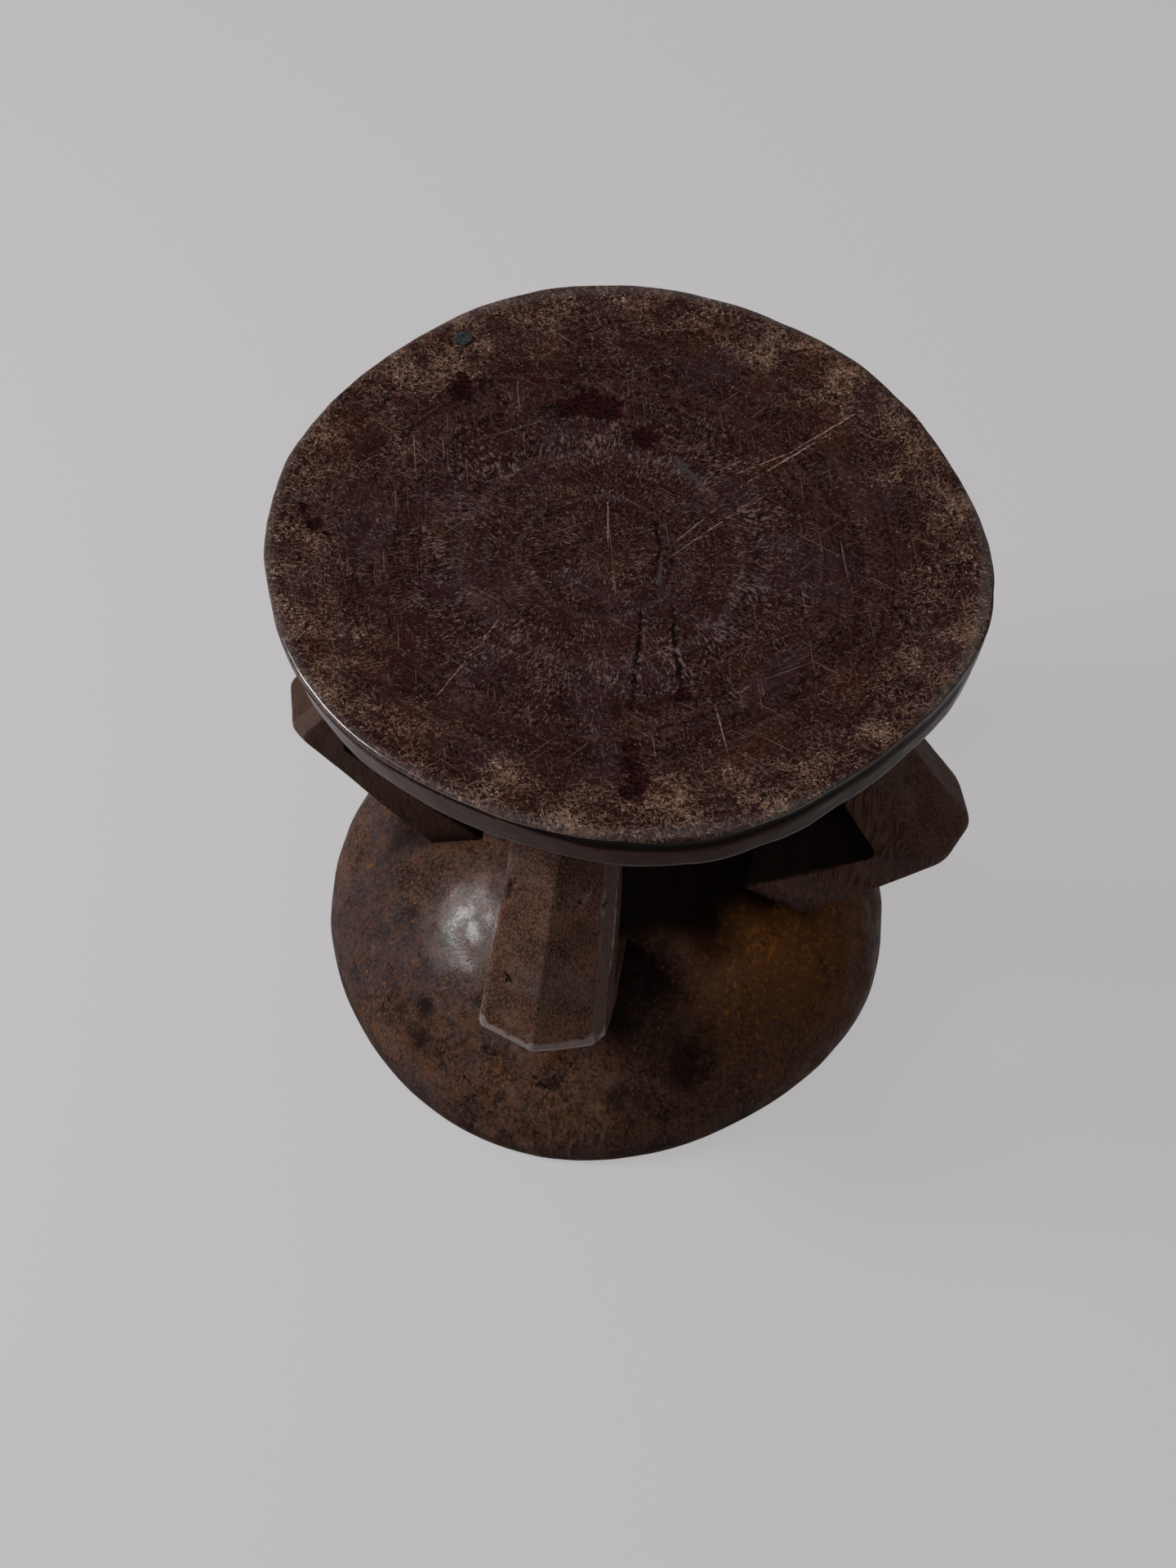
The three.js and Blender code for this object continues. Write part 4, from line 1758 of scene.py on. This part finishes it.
@dataclass(frozen=True)
class LegFinish(Finish):
    """Brown wood with its grain up the leg, rubbed light on the edges, with shade painted where it
    joins and on its inner faces.
    """

    deep: Colour = screen(46, 31, 25)
    middle: Colour = screen(90, 65, 54)
    warm: Colour = screen(80, 46, 28)
    ash: Colour = screen(78, 68, 66)
    # Near-black for stains and cracks, which is also laid as painted shade.
    stain_and_shade: Colour = screen(14, 9, 8)
    rubbed: Colour = screen(134, 118, 114)
    # The near-black of the painted shade.
    shade_black: Colour = screen(6, 4, 4)
    relief: float = 0.18

    def material(self) -> bpy.types.Material:
        """Builds the material that the four legs share.

        Returns:
            The material.
        """
        material, graph, place = self.begin("leg_wood")
        sheltered = graph.stored("sheltered")
        fibre = graph.effect(self.effects.fibre, place=place, width=0.8, length=26)
        fine = place.noise(1.8, detail=4, rough=0.68)
        clouds = place.noise(14, detail=4)
        warm = (place + (12, 55, 8)).noise(12, detail=4)
        blots = (place + (70, 5, 31)).noise(11, detail=5, rough=0.68)
        rubbed, cornered = self.wear(graph, place, 0.07, 0.18)
        tone = clouds * 0.25 + fibre["Streak"] * 0.6 + fine * 0.15
        colour = graph.paint(
            graph.mix(tone.fade(0.41, 0.58), self.deep, self.middle),
            (warm.fade(0.5, 0.66), 0.3, self.warm),
            (graph.stored("pale").ragged(clouds, 1.6, 0.3, 1.1), 0.3, self.ash),
            (blots.fade(0.6, 0.69), 0.4, self.stain_and_shade),
            (fibre["Pores"], 0.55, self.stain_and_shade),
            (self.strokes(graph, place, 0.8, 0.34, (0.9, 18)), 0.3, self.rubbed),
            (self.lines(graph, place, LEG_CRACKS), 0.9, self.stain_and_shade),
            (graph.stored("shade"), 1.0, self.deep),
            (graph.stored("chamfer"), 0.32, self.rubbed),
            (rubbed, 0.55, self.rubbed),
            (cornered, 0.6, self.stain_and_shade),
            # Painted shade: darker where the leg joins, near-black on its inner faces and under the
            # seat.
            (graph.stored("grime"), 0.75, self.stain_and_shade),
            (sheltered, 0.94, self.shade_black),
        )
        feeds = {
            "Base Color": colour,
            "Roughness": rubbed.fade(0, 1, 0.48, 0.34),
            "Specular IOR Level": rubbed.fade(0, 1, 0.02, 0.3) * (1 - sheltered),
        }
        height = fibre["Streak"] * 0.7 + fibre["Pores"] * -0.4 + fine * 0.4
        self.end(graph, feeds, height, self.relief)
        return material


# Plug


@dataclass
class RimPlug:
    """The dark round plug that is let into the seat near its edge."""

    top: Vector
    radius: float = 4.5
    length: float = 7
    foot_share: float = 0.9
    crown: float = 0.5
    turn_steps: int = 72
    rings: int = 14
    longest_edge: float = 0.5
    rough: tuple[Pair, ...] = ((3.5, 0.3), (1.4, 0.12))
    rough_most: float = 0.2

    def build(self) -> bpy.types.Object:
        """Models the plug with a battered head.

        Returns:
            The plug.
        """
        foot = [(0, -self.length), (self.radius * self.foot_share, -self.length)]
        side = [(self.radius, -self.length * (1 - share)) for share in shares(self.rings)]
        head = [(self.radius * math.cos(a), self.crown * math.sin(a)) for a in quarter(self.rings)]
        shape = lathe([*foot, *side[1:-1], *head[:-1], (0, self.crown)], self.turn_steps)
        refine(shape, self.longest_edge, 3)
        bmesh.ops.translate(shape, verts=shape.verts, vec=self.top - Vector((0, 0, self.crown)))
        made = piece("rim_plug_stud", shape)
        surface = Surface(made.data)
        places = surface.places
        surface.push(hewn(places, self.rough, seed=61), np.zeros(len(places)), self.rough_most)
        surface.store(bulge=surface.bulge(5))
        return made


@dataclass(frozen=True)
class PlugFinish(Finish):
    """Dull dark grey metal with brighter worn edges and darker hollows."""

    dark: Colour = screen(24, 24, 26)
    grey: Colour = screen(60, 62, 66)
    corner_dark: Colour = screen(14, 12, 11)
    metallic: float = 0.4
    relief: float = 0.3

    def material(self) -> bpy.types.Material:
        """Builds the plug's material.

        Returns:
            The material.
        """
        material, graph, place = self.begin("plug_metal")
        cloud = place.noise(1.5, detail=4)
        rubbed, cornered = self.wear(graph, place, 0.03, 0.2)
        colour = graph.paint(
            graph.mix(cloud.fade(0.42, 0.7), self.dark, self.grey),
            (rubbed, 0.5, self.grey),
            (cornered, 0.7, self.corner_dark),
        )
        dull = cloud.fade(0.3, 0.7, 0.4, 0.6)
        feeds = {"Base Color": colour, "Roughness": dull, "Metallic": self.metallic}
        self.end(graph, feeds, cloud, self.relief)
        return material


# Studio


@dataclass(frozen=True)
class Studio:
    """The pale floor, the soft light and the camera, in metres."""

    axis: Vector
    floor_grey: Colour = screen(190, 188, 189)
    floor_dim: Colour = screen(138, 134, 132)
    floor_size: float = 8.0
    shadow_kept: float = 0.18
    sky_strength: float = 0.32
    sky_colour: Colour = (1.0, 0.985, 0.97, 1.0)
    lamp_way: Point = (-0.73, -0.17, 0.67)
    lamp_distance: float = 1.6
    lamp_size: float = 0.6
    lamp_power: float = 24.0
    lamp_colour: Point = (0.97, 0.985, 1.0)
    camera_from_axis: Point = (0.085507, -0.617769, 0.98445)
    camera_right: Point = (0.9810, 0.1921, 0.0273)
    camera_up: Point = (-0.1718, 0.7948, 0.5820)
    camera_lens: float = 51.99

    def build(self) -> None:
        """Builds the floor, the sky, the lamp and the camera."""
        self.floor()
        self.sky()
        self.lamp()
        self.camera()

    def floor(self) -> None:
        """A wide floor that shows its own grey and keeps part of the stool's shadow."""
        shape = bmesh.new()
        bmesh.ops.create_grid(shape, x_segments=4, y_segments=4, size=self.floor_size / 2)
        ground = piece("studio_floor", shape)
        material, graph = new_material("floor_paper")
        rays = graph.outputs(graph.new("ShaderNodeLightPath", {}))
        kinds = "Camera", "Glossy", "Transmission"
        seen = graph.largest(*(rays[f"Is {kind} Ray"] for kind in kinds))
        grey = graph.mix(seen, self.floor_dim, self.floor_grey)
        matt = graph.node("ShaderNodeBsdfDiffuse", {"Color": grey})
        plain = graph.node("ShaderNodeEmission", {"Color": self.floor_grey, "Strength": 1.0})
        share = seen * (1 - self.shadow_kept)
        graph.show(graph.node("ShaderNodeMixShader", {0: share, 1: matt, 2: plain}))
        ground.data.materials.append(material)

    def sky(self) -> None:
        """An even pale world that lights the stool from all sides."""
        world = bpy.data.worlds.new("studio")
        bpy.context.scene.world = world
        world.use_nodes = True
        background = world.node_tree.nodes["Background"]
        background.inputs["Color"].default_value = self.sky_colour
        background.inputs["Strength"].default_value = self.sky_strength

    def lamp(self) -> None:
        """A soft lamp to the left of the stool."""
        data = bpy.data.lights.new("soft_lamp", "AREA")
        data.shape = "DISK"
        data.size = self.lamp_size
        data.energy = self.lamp_power
        data.color = self.lamp_colour
        lamp = bpy.data.objects.new("soft_lamp", data)
        bpy.context.scene.collection.objects.link(lamp)
        way = Vector(self.lamp_way).normalized()
        lamp.location = self.axis + way * self.lamp_distance
        lamp.rotation_euler = way.to_track_quat("Z", "Y").to_euler()

    def camera(self) -> None:
        """The camera above and in front of the stool."""
        data = bpy.data.cameras.new("camera")
        data.lens = self.camera_lens
        camera = bpy.data.objects.new("camera", data)
        bpy.context.scene.collection.objects.link(camera)
        right = Vector(self.camera_right).normalized()
        up = Vector(self.camera_up)
        up = (up - up.project(right)).normalized()
        turn = Matrix((right, up, right.cross(up))).transposed().to_4x4()
        camera.matrix_world = Matrix.Translation(self.axis + Vector(self.camera_from_axis)) @ turn
        bpy.context.scene.camera = camera

# The stool


@dataclass
class Stool:
    """All the pieces of the stool and their finishes."""

    seat: Seat = field(default_factory=Seat)
    base: Base = field(default_factory=Base)
    plug_direction: float = 132.6
    plug_from_edge: float = 12.9

    def plug_top(self) -> Vector:
        """The top of the plug in metres, where the solids put it."""
        low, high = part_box("rim_plug")
        return Vector(((low.x + high.x) / 2, (low.y + high.y) / 2, high.z))

    def axis(self) -> Vector:
        """The foot of the stool's axis in metres, worked out from the plug's place.

        Returns:
            The point on the floor.
        """
        out = self.seat.radius - self.plug_from_edge
        angle = math.radians(self.plug_direction)
        x = self.seat.aside[0] + out * math.cos(angle)
        y = self.seat.aside[1] + out * math.sin(angle)
        plug = self.plug_top()
        return Vector((plug.x - x * MM, plug.y - y * MM, 0))

    def legs(self) -> list[Leg]:
        """The four legs, each with its own seed, direction and factors.

        Returns:
            The legs, from the front one round to the left one.
        """
        shared = {"seat": self.seat, "base": self.base}
        front = Leg(
            side="front",
            **shared,
            seed=31,
            direction=-88.5,
            reach=0.994,
            height=0.994,
            depth=1,
            aside=-0.12,
            ridge_aside=-0.05,
            right_chamfer=1.5,
            edge_light=0.8,
            shade=0,
            nose_passes=2,
        )
        right = Leg(
            side="right",
            **shared,
            seed=35,
            direction=-0.5,
            reach=1.042,
            height=0.97,
            depth=1.1,
            aside=0.027,
            ridge_aside=-0.027,
            shade=0,
            shade_black=1,
            nose=34,
            nose_passes=24,
        )
        back = Leg(
            side="back",
            **shared,
            seed=39,
            direction=90,
            reach=0.995,
            height=1,
            depth=1,
            aside=0.02,
            ridge_aside=0.02,
        )
        left = Leg(
            side="left",
            **shared,
            seed=43,
            direction=178,
            reach=0.967,
            height=1.03,
            depth=0.91,
            aside=0.03,
            ridge_aside=-0.02,
            shade=0.6,
        )
        return [front, right, back, left]

    def add(
        self, made: bpy.types.Object, material: bpy.types.Material, slot: str, node: str
    ) -> None:
        """Puts a piece in the place of its solid and dresses it.

        Args:
            made: The piece.
            material: Its finish.
            slot: The name of the finish, which is not used.
            node: The solid's name.
        """
        made.data.transform(Matrix.Translation(self.axis()) @ Matrix.Scale(MM, 4))
        made.data.materials.append(material)
        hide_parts(node)
        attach(made, BODY)
        log.info("%s: %d faces, in place of %s", made.name, len(made.data.polygons), node)

    def build(self) -> None:
        """Builds every piece in its place."""
        shared = (self.axis(), Effects())
        legs = self.legs()
        leg_wood = LegFinish(*shared).material()
        seat_wood = SeatFinish(*shared, seat=self.seat).material()
        self.add(self.seat.build(), seat_wood, "seat_wood", "seat")
        self.add(self.base.build(legs), BaseFinish(*shared).material(), "base_wood", "base")
        for leg in legs:
            self.add(leg.build(), leg_wood, "leg_wood", f"leg_{leg.side}")
        top = (self.plug_top() - self.axis()) / MM
        self.add(RimPlug(top).build(), PlugFinish(*shared).material(), "plug_metal", "rim_plug")


def main() -> None:
    """Builds the studio and the stool, and writes how large the pieces came out."""
    logging.basicConfig(level=logging.INFO, format="%(message)s")
    bpy.context.scene.view_settings.view_transform = "Standard"
    stool = Stool()
    Studio(stool.axis()).build()
    stool.build()
    bpy.context.view_layer.update()


if __name__ == "__main__":
    main()
